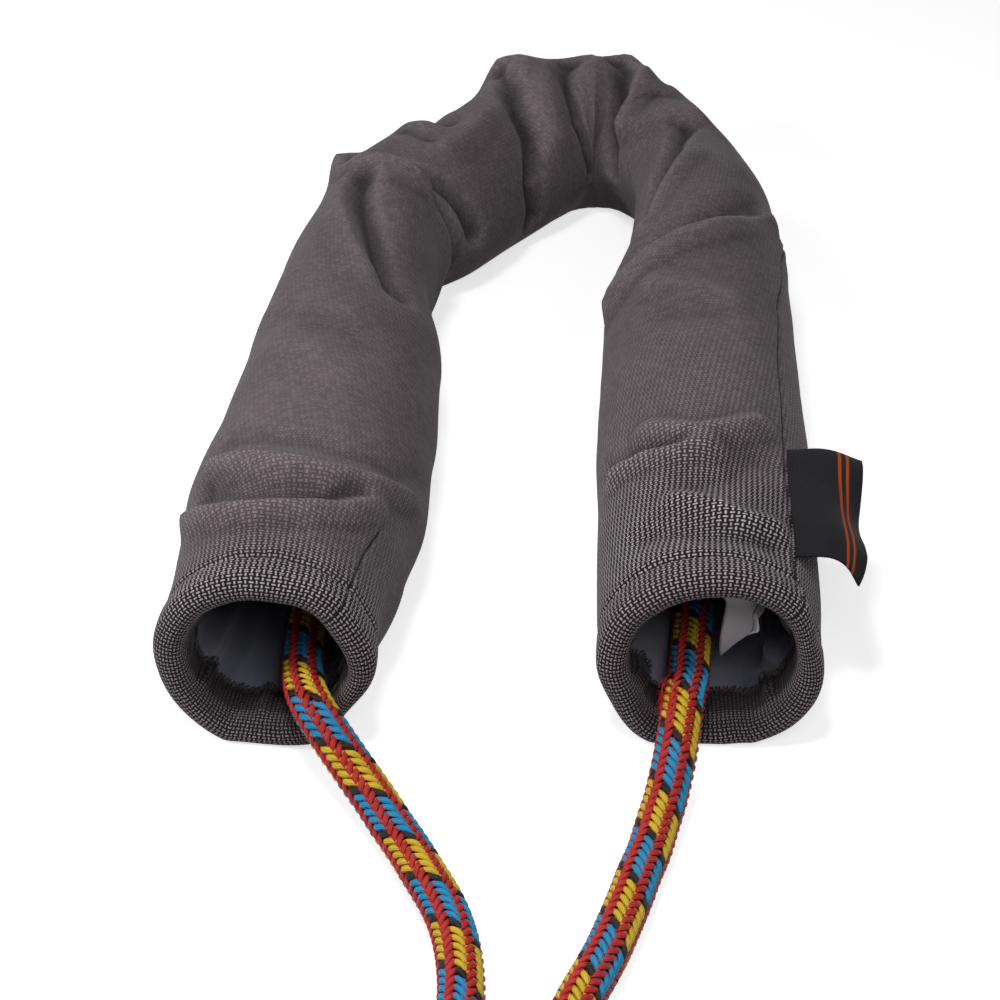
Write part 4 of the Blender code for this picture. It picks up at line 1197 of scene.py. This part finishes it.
@dataclass
class InnerLayers:
    """The foam and the lining inside the cover."""

    shape: SleeveShape
    rope: "Rope"
    columns: int = 130
    padding_rows: int = 180
    lining_rows: int = 90
    lining_start: float = 0.0100
    lining_fine: float = 0.14
    lining_step: float = 0.0026
    slack: float = 0.0003
    crumple: float = 0.00035
    soft_folds: tuple[tuple[float, int, int, float, float], ...] = (
        (0.0028, 21, 9, 0.060, 0.25),
        (0.0011, 22, 19, 0.034, 0.0),
    )
    pleats: tuple[tuple[float, float, Table], ...] = (
        (2.6, 3.2, ((0.012, 206), (0.040, 214), (0.085, 222))),
        (1.8, 3.4, ((0.014, 160), (0.035, 152), (0.070, 140))),
        (1.7, 4.0, ((0.014, 236), (0.050, 240), (0.100, 232))),
        (1.4, 3.2, ((0.013, 120), (0.060, 112))),
        (1.6, 3.6, ((0.016, 64), (0.060, 58), (0.090, 64))),
        (1.2, 3.0, ((0.014, 20), (0.060, 10))),
        (2.2, 3.4, ((0.986, 210), (0.960, 218), (0.910, 224))),
        (1.8, 3.0, ((0.984, 188), (0.968, 176), (0.930, 170))),
        (2.0, 3.4, ((0.986, 150), (0.955, 146), (0.900, 150))),
        (1.5, 3.4, ((0.985, 20), (0.955, 26), (0.900, 18))),
        (1.5, 3.4, ((0.985, 330), (0.955, 324), (0.900, 330))),
        (1.4, 3.0, ((0.984, 246), (0.972, 236), (0.962, 204))),
    )

    def __post_init__(self) -> None:
        """Works out the rope's middle at even shares of the sleeve once."""
        self.rope_line = np.array([self.rope.in_bore(share) for share in np.linspace(0, 1, 160)])

    def room(self, distance: Array, angle: Array) -> Array:
        """How far the lining can stand into the bore before it meets the rope."""
        spots = np.linspace(0, self.shape.length, len(self.rope_line))
        middle = np.stack([np.interp(distance, spots, part) for part in self.rope_line.T], -1)
        place = self.shape.place(distance, angle, self.shape.lining_foot, 0 * angle)
        return np.linalg.norm(place - middle, axis=-1) - self.rope.across / 2 - self.rope.gap

    def lining_lift(self, distance: Array, angle: Array) -> Array:
        """How far the lining's soft folds stand into the bore, as a negative lift."""
        lift = -self.slack - self.crumple * (1 + Ripple(23, 24, 0.011).at(distance, angle))
        for tall, seed, waves, length, more in self.soft_folds:
            wave = Ripple(seed, waves, length).at(distance, angle)
            lift -= tall * np.maximum(0.0, wave + more)
        for tall, wide, line in self.pleats:
            reach = self.shape.off_line(distance, angle, line) / (wide / 1000)
            lift -= tall / 650 * np.maximum(0.0, 1 - reach / 1.9) ** 1.25
        from_mouth = self.shape.from_mouth(distance)
        free = np.clip((from_mouth - 0.0140) / 0.007, 0, 1)
        lift = lift * (0.12 + 0.88 * eased(free))
        lift = -np.minimum(-lift, np.maximum(0.0002, 0.85 * self.room(distance, angle)))
        return lift + 0.5 * np.minimum(0.0, self.shape.wall_lift(distance, angle))

    def shell(
        self, name: str, span: tuple[float, float], steps: Array, depths: tuple[float, float]
    ) -> bpy.types.Object:
        """A closed layer between two depths.

        Args:
            name: the piece's name.
            span: distances from each mouth where the layer starts and stops.
            steps: shares of the span of its rows.
            depths: its outer and its inner depth.

        Returns:
            The new object.
        """
        shape = self.shape
        columns = np.arange(self.columns) * math.tau / self.columns
        outer, inner = depths
        first, last = span
        spots = first + (last - first) * steps
        rows, widths = [], []
        middle, half = (outer + inner) / 2, (inner - outer) / 2
        turns = np.radians(np.linspace(90, -90, 7)[1:-1])
        parts = [(spot, inner) for spot in spots]
        parts += [(last + half * math.cos(t), middle + half * math.sin(t)) for t in turns]
        parts += [(spot, outer) for spot in spots[::-1]]
        parts += [(first - half * math.cos(t), middle - half * math.sin(t)) for t in turns]
        for distance, depth in parts:
            at = np.full(len(columns), distance)
            angle = columns + shape.seam_angle(distance)
            if name == "lining_cloth":
                lift = self.lining_lift(at, angle)
            else:
                share = (shape.padding_foot - depth) / shape.padding
                wall = shape.sunk_lift(at, angle)
                lift = share * np.maximum(0.0, wall) - 0.0006 * share
                lift = lift + (0.5 + 0.5 * share) * np.minimum(0.0, wall)
            rows.append(shape.place(at, angle, depth, lift))
            widths.append(np.append(columns, math.tau) * shape.half_width)
        return loop_mesh(name, rows, widths)

    def build(self, foam: bpy.types.Material, cloth: bpy.types.Material) -> None:
        """Builds both layers."""
        shape = self.shape
        length, half_wall = shape.length, shape.wall / 2
        depths = (shape.padding_top, shape.padding_foot)
        span = (half_wall, length - half_wall)
        steps = np.linspace(0, 1, self.padding_rows)
        padding = self.shell("foam_padding", span, steps, depths)
        keep(padding, "sleeve", Slot.FOAM, ["padding"], [foam])
        near = np.arange(0, self.lining_fine, self.lining_step)
        between = np.linspace(self.lining_fine, 1 - self.lining_fine, self.lining_rows)
        shares = np.concatenate([near, between, 1 - near[::-1]])
        depths = (shape.lining_top, shape.lining_foot)
        span = (self.lining_start, length - self.lining_start)
        lining = self.shell("lining_cloth", span, shares, depths)
        keep(lining, "sleeve", Slot.LINING, ["lining"], [cloth])


@dataclass
class Sewing:
    """Topstitches, overlocked edges and seams of the sleeve."""

    shape: SleeveShape
    cover: Cover
    layers: InnerLayers
    seam_start: float = 0.0040
    seam_depth: float = 0.0043
    lining_seam_start: float = 0.0175
    ring_places: int = 220
    seam_places: int = 500
    hem_rise: float = 0.00008
    facing_rise: float = 0.0001
    lining_rise: float = 0.0002

    def ring(
        self, distance: float, depth: float, lift: Callable[..., Array]
    ) -> tuple[Array, Array]:
        """Places and outward directions of a line round the sleeve."""
        columns = np.arange(self.ring_places) * math.tau / self.ring_places
        at = np.full(len(columns), distance)
        angle = columns + self.shape.seam_angle(distance)
        raised = lift(at, angle, columns)
        if depth > self.shape.padding_foot:
            at = at + self.cover.edge_shift(at, angle)
        return self.shape.place(at, angle, depth, raised), self.shape.outward(at, angle)

    def outside(self, distance: Array, angle: Array, columns: Array) -> Array:
        """Lift of the cover's outer wall in a ring."""
        return self.cover.outside_lift(distance, angle, self.cover.off_seam(columns))

    def facing(self, distance: Array, angle: Array, _columns: Array) -> Array:
        """Lift of the facing in a ring."""
        return self.cover.facing_lift(distance, angle)

    def sunk(self, distance: Array, angle: Array) -> Array:
        """Lift of the foam's middle, which only sinks with the cover."""
        return 0.75 * np.minimum(0.0, self.shape.wall_lift(distance, angle))

    def along_seam(
        self, span: tuple[float, float], depth: float, lift: Callable[..., Array]
    ) -> tuple[Array, Array]:
        """Places and outward directions of a line along the long seam."""
        at = np.linspace(*span, self.seam_places)
        angle = self.shape.seam_angle(at)
        outward = self.shape.outward(at, angle)
        return self.shape.place(at, angle, depth, lift(at, angle)), outward

    def build(self, thread: bpy.types.Material, fuzz: bpy.types.Material) -> None:
        """Sews every row of thread and scatters the frayed fibres on the cut edges."""
        shape = self.shape
        length = shape.length
        topstitch = ThreadRow(0.0034, 0.0030, 0.00030, 0.00012, jitter=0.05, seed=4)
        overlock = ThreadRow(0.0010, 0.0042, 0.00025, 0.0008, lean=1.25, jitter=0.22, seed=5)
        fibres = ThreadRow(0.00028, 0.0032, 0.00007, 0.0013, jitter=3.1, tumble=1.0, seed=6)
        spine = ThreadRow(0.0030, 0.0026, 0.00022, 0.0002, jitter=0.08, seed=7)
        rings = []
        for hand, at, edge in (
            ("left", shape.hem_stitch, shape.hem_turn),
            ("right", length - shape.hem_stitch, length - shape.hem_turn),
        ):
            hem = self.ring(at, -self.hem_rise, self.outside)
            cut = self.ring(edge, shape.wall + self.facing_rise, self.facing)
            rings += [
                (topstitch, f"topstitch_{hand}", hem, 1, [f"hem_stitch_{hand}"]),
                (overlock, f"overlock_{hand}", cut, -1, [f"facing_overlock_{hand}"]),
                (fibres, f"frayed_edge_{hand}", cut, -1, []),
            ]
        span = (self.seam_start, length - self.seam_start)
        seam = self.along_seam(span, self.seam_depth, self.sunk)
        span = (self.lining_seam_start, length - self.lining_seam_start)
        foot = shape.lining_foot + self.lining_rise
        under = self.along_seam(span, foot, self.layers.lining_lift)
        lines = [
            (spine, "seam_overlock", seam, 1, ["cover_seam_overlock"]),
            (spine, "lining_stitches", under, -1, ["lining_seam_stitch"]),
        ]
        for row, name, (places, outward), way, nodes in rings + lines:
            finish = fuzz if row is fibres else thread
            closed = row is not spine
            sewn = row.sew(name, places, way * outward, finish, closed)
            keep(sewn, "sleeve", Slot.THREAD, nodes)


@dataclass
class Labels:
    """The woven flag label in the long seam and the satin label in the right mouth."""

    shape: SleeveShape
    side_length: float = 0.0530
    side_reach: float = 0.0220
    side_setback: float = 0.0232
    side_cloth: float = 0.0005
    side_lift: float = 0.0008
    side_tilts: Table = ((0.0, -12.0), (0.35, -19.0), (0.7, -15.0), (1.0, -25.0))
    side_curl: float = 10.0
    side_places: int = 56
    side_steps: int = 24
    side_waves: tuple[float, float, float] = (24.0, 12.0, 30.0)
    care_width: float = 0.0120
    care_length: float = 0.0300
    care_setback: float = 0.0180
    care_cloth: float = 0.0004
    care_across: float = -0.36
    care_drop: float = 0.68
    care_turn: float = 20.0
    care_twist: float = -78.0
    care_bend: float = 0.17
    care_curl: float = 24.0
    care_gap: float = 0.0003
    care_wave: float = 0.0009
    care_lean: float = 0.0012
    care_rows: int = 40
    care_places: int = 16

    def sheet(self, name: str, rows: Array, cloth: float) -> bpy.types.Object:
        """A sheet of even thickness with round edges through rows of places on its middle."""
        down, over = np.gradient(rows, axis=0), np.gradient(rows, axis=1)
        facing = unit(np.cross(down, over))
        length = np.linalg.norm(np.diff(rows, axis=0), axis=2).mean(1)
        width = np.linalg.norm(np.diff(rows, axis=1), axis=2).mean(0)
        along = np.concatenate([[0.0], np.cumsum(length)])
        across = np.concatenate([[0.0], np.cumsum(width)])
        flat = np.stack(np.meshgrid(along, across, indexing="ij"), -1)
        top, foot = rows + facing * cloth / 2, rows - facing * cloth / 2
        count, wide = rows.shape[:2]
        faces, _ = grid_faces(count, wide, False, False)
        total = count * wide
        rim = [(i, 0) for i in range(count)] + [(count - 1, j) for j in range(1, wide)]
        rim += [(i, wide - 1) for i in range(count - 2, -1, -1)]
        rim += [(0, j) for j in range(wide - 2, 0, -1)]
        ring = [i * wide + j for i, j in rim]
        sides = [
            (ring[k], ring[(k + 1) % len(ring)], ring[(k + 1) % len(ring)] + total, ring[k] + total)
            for k in range(len(ring))
        ]
        corner = rows[1, 1] - rows[0, 0]
        if np.dot(np.cross(rows[0, 1] - rows[0, 0], corner), facing[0, 0]) > 0:
            sides = [face[::-1] for face in sides]
        every = [*faces, *(faces[:, ::-1] + total), *sides]
        coordinates = np.vstack([flat.reshape(-1, 2)] * 2)
        corners = coordinates[np.array([i for face in every for i in face])]
        points = np.vstack([top.reshape(-1, 3), foot.reshape(-1, 3)])
        return put_mesh(name, points, every, corners)

    def build_side(self, material: bpy.types.Material) -> None:
        """Builds the flag label, waved and curled at its lower corner."""
        shape = self.shape
        far = shape.length - self.side_setback - self.side_length
        shares = np.linspace(0, 1, self.side_places)
        distance = far + shares * self.side_length
        angle = shape.seam_angle(distance)
        side = shape.section(distance)[1]
        spot = shape.place(distance, angle, 0.0, shape.wall_lift(distance, angle))
        spot = spot + shape.outward(distance, angle) * self.side_lift
        steps = self.side_steps
        across, along, corner = self.side_waves
        rows = [spot]
        for step in range(steps):
            reach = (step + 0.5) / steps
            tilt = lookup(self.side_tilts, shares) + self.side_curl * (0.5 - reach)
            tilt = tilt + across * math.sin(reach * 5.2 + 0.5) * (0.6 + 0.4 * shares)
            tilt = tilt + along * np.sin(shares * 7.2 + 0.6) * reach
            tilt = tilt - corner * np.clip((shares - 0.80) / 0.2, 0, 1) ** 2 * reach**2
            tilt = np.radians(tilt)
            heading = -side * np.cos(tilt)[:, None] + np.sin(tilt)[:, None] * UP
            spot = spot + heading * (self.side_reach / steps)
            rows.append(spot)
        label = self.sheet("flag_label", np.stack(rows, 1), self.side_cloth)
        keep(label, "side_flag", Slot.LABEL, ["side_label"], [material])

    def build_care(self, material: bpy.types.Material) -> None:
        """Builds the satin label, bent round beside the rope."""
        shape = self.shape
        turn = math.radians(self.care_turn)
        lean = self.care_width / 2 * math.sin(turn)
        distance = np.array([shape.length - self.care_setback - lean])
        middle, side, half_width, half_height = (each[0] for each in shape.section(distance))
        heading = shape.heading(distance)[0]
        bore_width, bore_height = half_width - shape.lining_foot, half_height - shape.lining_foot
        drop = 2 * bore_height * self.care_drop
        gap = self.care_gap + self.care_cloth + bore_height * (1 - math.cos(math.pi / 14))
        foot = half_height - shape.table_flat + bore_height - gap - drop
        rows = []
        for share in np.linspace(0, 1, self.care_rows):
            bulge = math.sin(2.5 * max(0.0, share - 0.20)) * drop * self.care_bend
            twisted = turn + math.radians(self.care_twist) * min(1.0, max(0.0, share - 0.16) / 0.28)
            width_way = side * math.cos(twisted) + heading * math.sin(twisted)
            bend_way = heading * math.cos(twisted) - side * math.sin(twisted)
            row = []
            for part in np.linspace(0, 1, self.care_places):
                curled = math.radians(self.care_curl) * min(1.0, 0.25 + 1.3 * share)
                over = math.sin(curled * part) / curled
                back = (1 - math.cos(curled * part)) / curled
                offset = width_way * (self.care_width * (over - 0.5))
                offset = offset + bend_way * (self.care_width * back)
                across = self.care_across * bore_width + float(np.dot(offset, side))
                slope = math.sqrt(1 - (across / bore_width) ** 2)
                ceiling = half_height - shape.table_flat + bore_height * slope - gap
                spot = middle + side * (self.care_across * bore_width) + offset
                wave = self.care_wave * math.sin(share * 7 + part * 2.5) * share
                spot = spot + heading * bulge + bend_way * wave
                spot = spot + width_way * (self.care_lean * share * share)
                spot[2] = ceiling + (foot - ceiling) * share * (1 - 0.55 * (1 - part) * share)
                row.append(spot)
            rows.append(row)
        label = self.sheet("care_tag", np.array(rows), self.care_cloth)
        keep(label, "care_flag", Slot.CARE, ["care_label"], [material])


@dataclass
class Rope:
    """The braided rope: 24 strands that pass over and under each other, and two sealed ends."""

    shape: SleeveShape
    across: float = 0.0120
    lay: float = 0.0340
    strands: int = 12
    mid_radius: float = 0.00470
    weave_rise: float = 0.00058
    strand_half_width: float = 0.00084
    strand_half_height: float = 0.00064
    end_length: float = 0.0220
    end_sides: int = 48
    end_profile: Table = (
        (0.0, 5.7),
        (0.02, 6.05),
        (0.06, 6.1),
        (0.14, 6.05),
        (0.3, 6.0),
        (0.5, 6.02),
        (0.7, 5.98),
        (0.85, 6.0),
        (0.93, 5.8),
        (0.97, 5.2),
        (0.99, 4.0),
    )
    cloth_scale: float = 1.5
    yarn_girth: float = 0.0046
    table_gap: float = 0.0002
    path_places: int = 160
    tail_start: float = 0.0025
    inner_sides: int = 4
    tail_sides: int = 6
    fine_step: float = 0.00052
    coarse_step: float = 0.00135
    fine_reach: float = 0.045
    frame_step: float = 0.0008
    fold_room: float = 0.0005
    gap: float = 0.0006
    steady: tuple[float, float] = (0.065, 0.935)
    order: str = "YYYYYKBBBBBK"

    def __post_init__(self) -> None:
        """Works out the rope's whole run and where it passes the mouths."""
        shape = self.shape
        first, last = self.steady
        steps = round((last - first) * shape.length / self.across)
        shares = [row[0] for row in ROPE_PLAY_SHARES if not first <= row[0] <= last]
        shares += [first + (last - first) * step / steps for step in range(steps + 1)]
        inside = np.array([self.in_bore(share) for share in sorted(shares)])
        left, right = self.tail(LEFT_TAIL_SHARES[::-1]), self.tail(RIGHT_TAIL_SHARES)
        self.run = Run(smooth_run(np.vstack([left, inside, right]), 6))
        passed = []
        for distance in (0.0, shape.length):
            mouth = shape.middle.at(distance)
            behind = (self.run.points - mouth) @ shape.heading(distance) > 0
            passed.append(np.flatnonzero(behind[1:] & ~behind[:-1]) + 1)
        self.left_mouth = float(self.run.marks[passed[0][0]])
        self.right_mouth = float(self.run.marks[passed[1][-1]])
        self.frame()

    def in_bore(self, share: float) -> Array:
        """Middle of the rope at a share of the sleeve's length."""
        shape = self.shape
        room = shape.lining_foot + self.fold_room + self.gap + self.across / 2
        inside = np.array([min(max(share, 0.0), 1.0) * shape.length])
        middle, side, half_width, half_height = (each[0] for each in shape.section(inside))
        across = float(lookup(ROPE_PLAY_SHARES, share, 1))
        drop = float(lookup(ROPE_PLAY_SHARES, share, 2))
        if 0 <= share <= 1:
            drop = min(drop, math.sqrt(1 - across * across))
        heading = shape.heading(inside)[0]
        spot = middle + side * across * (half_width - room)
        spot = spot + heading * (share * shape.length - inside[0])
        spot[2] = max(half_height - shape.table_flat - drop * (half_height - room), room)
        return spot

    def tail(self, shares: Table) -> Array:
        """Points of a free tail."""
        shape, rows = self.shape, np.array(shares)
        aside = rows[:, 0] * shape.leg_spread - shape.mouths_aside
        ahead = rows[:, 1] * shape.u_reach - shape.mouths_ahead
        up = rows[:, 2] * self.across + self.across / 2 + self.table_gap
        return np.stack([aside, ahead, up], 1)

    def frame(self) -> None:
        """Carries one direction square to the rope along it without turning."""
        self.marks = np.arange(0, self.run.length, self.frame_step)
        spots = self.run.at(self.marks)
        ahead = unit(np.gradient(spots, axis=0))
        square = [unit(np.cross(ahead[0], UP))]
        for direction in ahead[1:]:
            carried = square[-1] - direction * float(np.dot(square[-1], direction))
            square.append(unit(carried))
        self.ahead, self.square = ahead, np.array(square)

    def axes(self, distance: Array) -> tuple[Array, Array, Array]:
        """Middle of the rope and two directions square to it at distances."""
        ahead, first = (
            np.stack([np.interp(distance, self.marks, column) for column in each.T], -1)
            for each in (self.ahead, self.square)
        )
        ahead = unit(ahead)
        first = unit(first - ahead * (first * ahead).sum(-1, keepdims=True))
        return self.run.at(distance), first, np.cross(ahead, first)

    def strand(self, spots: Array, index: int, hand: int, sides: int) -> tuple[Array, Array]:
        """Rings of one strand.

        Args:
            spots: distances along the rope of its rings.
            index: which strand of its hand.
            hand: 1 or -1, the way it turns.
            sides: points in a ring.

        Returns:
            The places of the rings' points, and their cloth coordinates.
        """
        middle, first, second = self.axes(spots)
        around = math.tau * (index / self.strands + hand * spots / self.lay)
        wave = np.cos(around * self.strands / 2) * hand
        radius = self.mid_radius + self.weave_rise * wave
        out = first * np.cos(around)[:, None] + second * np.sin(around)[:, None]
        line = middle + out * radius[:, None]
        along = unit(np.gradient(line, axis=0))
        flat = unit(np.cross(along, out))
        rise = np.cross(flat, along)
        turns = np.arange(sides) * math.tau / sides
        wide = self.strand_half_width * (1 + 0.10 * wave)
        ring = flat[:, None, :] * np.cos(turns)[None, :, None] * wide[:, None, None]
        ring = ring + rise[:, None, :] * np.sin(turns)[None, :, None] * self.strand_half_height
        cloth_along = np.broadcast_to(spots[:, None] * self.cloth_scale, (len(spots), sides + 1))
        girth = self.yarn_girth * np.arange(sides + 1) / sides
        cloth = np.stack([cloth_along, np.broadcast_to(girth, cloth_along.shape)], -1)
        return line[:, None, :] + ring, cloth

    def stretch(
        self, name: str, spots: Array, sides: int, materials: dict[str, bpy.types.Material]
    ) -> bpy.types.Object:
        """All strands of a stretch of the rope as one piece.

        Args:
            name: the piece's name.
            spots: distances along the rope of the rings.
            sides: points in a ring.
            materials: the yarns by the letters of the order, and R for the other hand.

        Returns:
            The new object.
        """
        letters = list(materials)
        points, faces, corners, finish = [], [], [], []
        base, _ = grid_faces(len(spots), sides, False, True)
        rows, columns = np.divmod(base, sides)
        closing = (columns == 0) & (columns.max(1, keepdims=True) > 1)
        columns = np.where(closing, sides, columns)
        for hand, index in ((hand, index) for hand in (1, -1) for index in range(self.strands)):
            rings, cloth = self.strand(spots, index, hand, sides)
            start = len(points) * len(spots) * sides
            first = np.arange(start, start + sides)
            last = first + (len(spots) - 1) * sides
            points.append(rings.reshape(-1, 3))
            faces += [*(base + start), first, last[::-1]]
            caps = [np.repeat(cloth[end, :1], sides, 0) for end in (0, -1)]
            corners += [cloth[rows, columns].reshape(-1, 2), *caps]
            letter = "R" if hand > 0 else self.order[index]
            finish += [letters.index(letter)] * (len(base) + 2)
        piece = put_mesh(name, np.vstack(points), faces, np.vstack(corners))
        for letter in letters:
            piece.data.materials.append(materials[letter])
        piece.data.polygons.foreach_set("material_index", np.array(finish, np.int32))
        return piece

    def end_sleeve(self, name: str, start: float, stop: float) -> bpy.types.Object:
        """A shrink sleeve over one end of the rope, closed over its tip.

        Args:
            name: the piece's name.
            start: distance along the rope of its open edge.
            stop: distance of its tip.

        Returns:
            The new object.
        """
        reach, radius = np.array(self.end_profile).T
        spots = start + (stop - start) * reach
        middle, first, second = self.axes(spots)
        sides = self.end_sides
        turns = np.arange(sides) * math.tau / sides
        ring = first[:, None] * np.cos(turns)[None, :, None]
        ring = ring + second[:, None] * np.sin(turns)[None, :, None]
        places = middle[:, None] + ring * (radius / 1000)[:, None, None]
        places = places.reshape(-1, 3)
        faces, _ = grid_faces(len(spots), sides, False, True)
        faces = [*faces, range(sides - 1, -1, -1), range(len(places) - sides, len(places))]
        corners = np.zeros((sum(len(face) for face in faces), 2))
        return put_mesh(name, places, faces, corners)

    def fray(self, yarn: bpy.types.Material) -> None:
        """Pulls a few loose fibres out of the rope where it rubs on the right mouth."""
        spots = self.right_mouth + np.linspace(-0.0060, 0.0050, 30)
        middle, first, second = self.axes(spots)
        outward = np.array([-0.86, 0.0, 0.51])
        outward = unit(first * (first @ outward)[:, None] + second * (second @ outward)[:, None])
        places = middle + outward * self.across * 0.49
        row = ThreadRow(0.00042, 0.0062, 0.00006, 0.0018, jitter=1.2, tumble=0.8, seed=9)
        fibres = row.sew("frayed_yarn", places, outward, yarn, False)
        keep(fibres, "sleeve", Slot.ROPE)

    def build(self, yarns: dict[str, bpy.types.Material], shrink: bpy.types.Material) -> None:
        """Builds the rope in the sleeve, both tails and both ends."""
        left, right, whole = self.left_mouth, self.right_mouth, self.run.length
        fine, deep = self.fine_step, self.fine_reach
        near = np.arange(left, left + deep, fine)
        far = np.arange(right, right - deep, -fine)[::-1]
        count = round((far[0] - near[-1]) / self.coarse_step)
        between = np.linspace(near[-1], far[0], count)[1:-1]
        spots = np.concatenate([near, between, far])
        inner = self.stretch("rope_inside", spots, self.inner_sides, yarns)
        keep(inner, "sleeve", Slot.ROPE, ["rope_in_sleeve"])
        for hand, start, stop, tip in (
            ("left", self.tail_start, left, 0.0),
            ("right", right, whole - self.tail_start, whole),
        ):
            spots = np.linspace(start, stop, round((stop - start) / fine))
            tail = self.stretch(f"rope_{hand}", spots, self.tail_sides, yarns)
            keep(tail, "sleeve", Slot.ROPE, [f"rope_tail_{hand}"])
            edge = self.end_length if tip == 0.0 else whole - self.end_length
            cap = self.end_sleeve(f"rope_cap_{hand}", edge, tip)
            keep(cap, "sleeve", Slot.SHRINK, [f"rope_end_{hand}"], [shrink])
            mouth = left if hand == "left" else right
            line = self.run.at(np.linspace(mouth, tip, self.path_places))
            tuple(line[0])


@dataclass
class Studio:
    """Pale floor, soft light from above and the photograph's camera."""

    place: Triple = (-0.0051, -0.7153, 0.4443)
    pitch: float = 33.8
    lens: float = 93.6
    world_light: float = 0.05
    floor_reach: float = 6.0
    floor_seen: Triple = (0.93, 0.93, 0.93)
    floor_glow: Triple = (0.68, 0.68, 0.68)
    floor_bounce: Triple = (0.42, 0.42, 0.42)
    lamps: tuple[tuple[str, Triple, Triple, float, float], ...] = (
        ("left", (-0.60, -0.30, 0.45), (0.0, 0.0, 0.0), 0.18, 1.7),
        ("behind left", (-0.50, 0.50, 0.50), (0.0, 0.0, 0.0), 0.18, 0.9),
        ("above", (-0.05, -0.30, 0.64), (0.0, -0.11, 0.0), 0.12, 1.5),
        ("front", (0.12, -0.52, 0.46), (0.0, -0.16, 0.03), 0.24, 0.75),
    )

    def camera(self) -> None:
        """Sets the camera."""
        data = bpy.data.cameras.new("camera")
        data.lens, data.sensor_width = self.lens, 36.0
        camera = put("camera", data)
        camera.location = self.place
        camera.rotation_euler = (math.radians(90 - self.pitch), 0.0, 0.0)
        bpy.context.scene.camera = camera

    def floor(self) -> None:
        """Lays the floor."""
        reach = self.floor_reach
        mesh = bpy.data.meshes.new("floor")
        corners = [(x * reach, y * reach, 0) for x, y in ((-1, -1), (1, -1), (1, 1), (-1, 1))]
        mesh.from_pydata(corners, [], [(0, 1, 2, 3)])
        floor = put("floor", mesh)
        graph = Graph("pale floor")
        seen = graph.camera_light()
        graph.finish(Base_Color=graph.blend(seen, self.floor_bounce, self.floor_seen))
        graph.finish(Roughness=1.0, Specular_IOR_Level=0.0)
        graph.finish(Emission_Color=graph.blend(seen, (0.0, 0.0, 0.0), self.floor_glow))
        graph.finish(Emission_Strength=1.0)
        mesh.materials.append(graph.material)

    def light(self) -> None:
        """Hangs square soft lamps that each face a place, and lights the world."""
        for name, spot, aim, size, power in self.lamps:
            data = bpy.data.lights.new(name, "AREA")
            data.shape, data.size, data.energy = "SQUARE", size, power
            lamp = put(name, data)
            lamp.location = spot
            lamp.rotation_euler = (Vector(aim) - Vector(spot)).to_track_quat("-Z", "Y").to_euler()
        world = bpy.data.worlds.new("studio")
        world.use_nodes = True
        bpy.context.scene.world = world
        nodes = Nodes(world.node_tree)
        background = nodes.tree.nodes["Background"]
        reach = {"To Min": self.world_light, "To Max": 1.0}
        pale = nodes.node("ShaderNodeMapRange", Value=nodes.camera_light(), **reach)
        nodes.feed(background.inputs["Strength"], pale)
        background.inputs["Color"].default_value = (1.0, 1.0, 1.0, 1.0)

    def build(self) -> None:
        """Sets the whole stage."""
        self.camera()
        self.floor()
        self.light()
        bpy.context.scene.view_settings.view_transform = "Standard"


def main() -> None:
    """Builds every sub-assembly in order."""
    logging.basicConfig(level=logging.INFO, format="%(name)s: %(message)s")
    Studio().build()
    shape = SleeveShape()
    thread = Thread().make()
    fuzz = Thread("frayed fibres", (0.10, 0.095, 0.10)).make()
    yarns = {
        "R": RopeYarn("red yarn", (0.56, 0.026, 0.022)).make(),
        "Y": RopeYarn("yellow yarn", (0.78, 0.56, 0.035)).make(),
        "B": RopeYarn("blue yarn", (0.015, 0.33, 0.62)).make(),
        "K": RopeYarn("black yarn", (0.007, 0.007, 0.008), 0.5).make(),
    }
    rope = Rope(shape)
    rope.build(yarns, ShrinkPlastic().make())
    rope.fray(yarns["R"])
    cover = Cover(shape)
    cover.build(TwoToneWeave().make())
    layers = InnerLayers(shape, rope)
    layers.build(Foam().make(), SmoothLining().make())
    Sewing(shape, cover, layers).build(thread, fuzz)
    labels = Labels(shape)
    labels.build_side(WovenTape().make())
    labels.build_care(Satin().make())


if __name__ == "__main__":
    main()
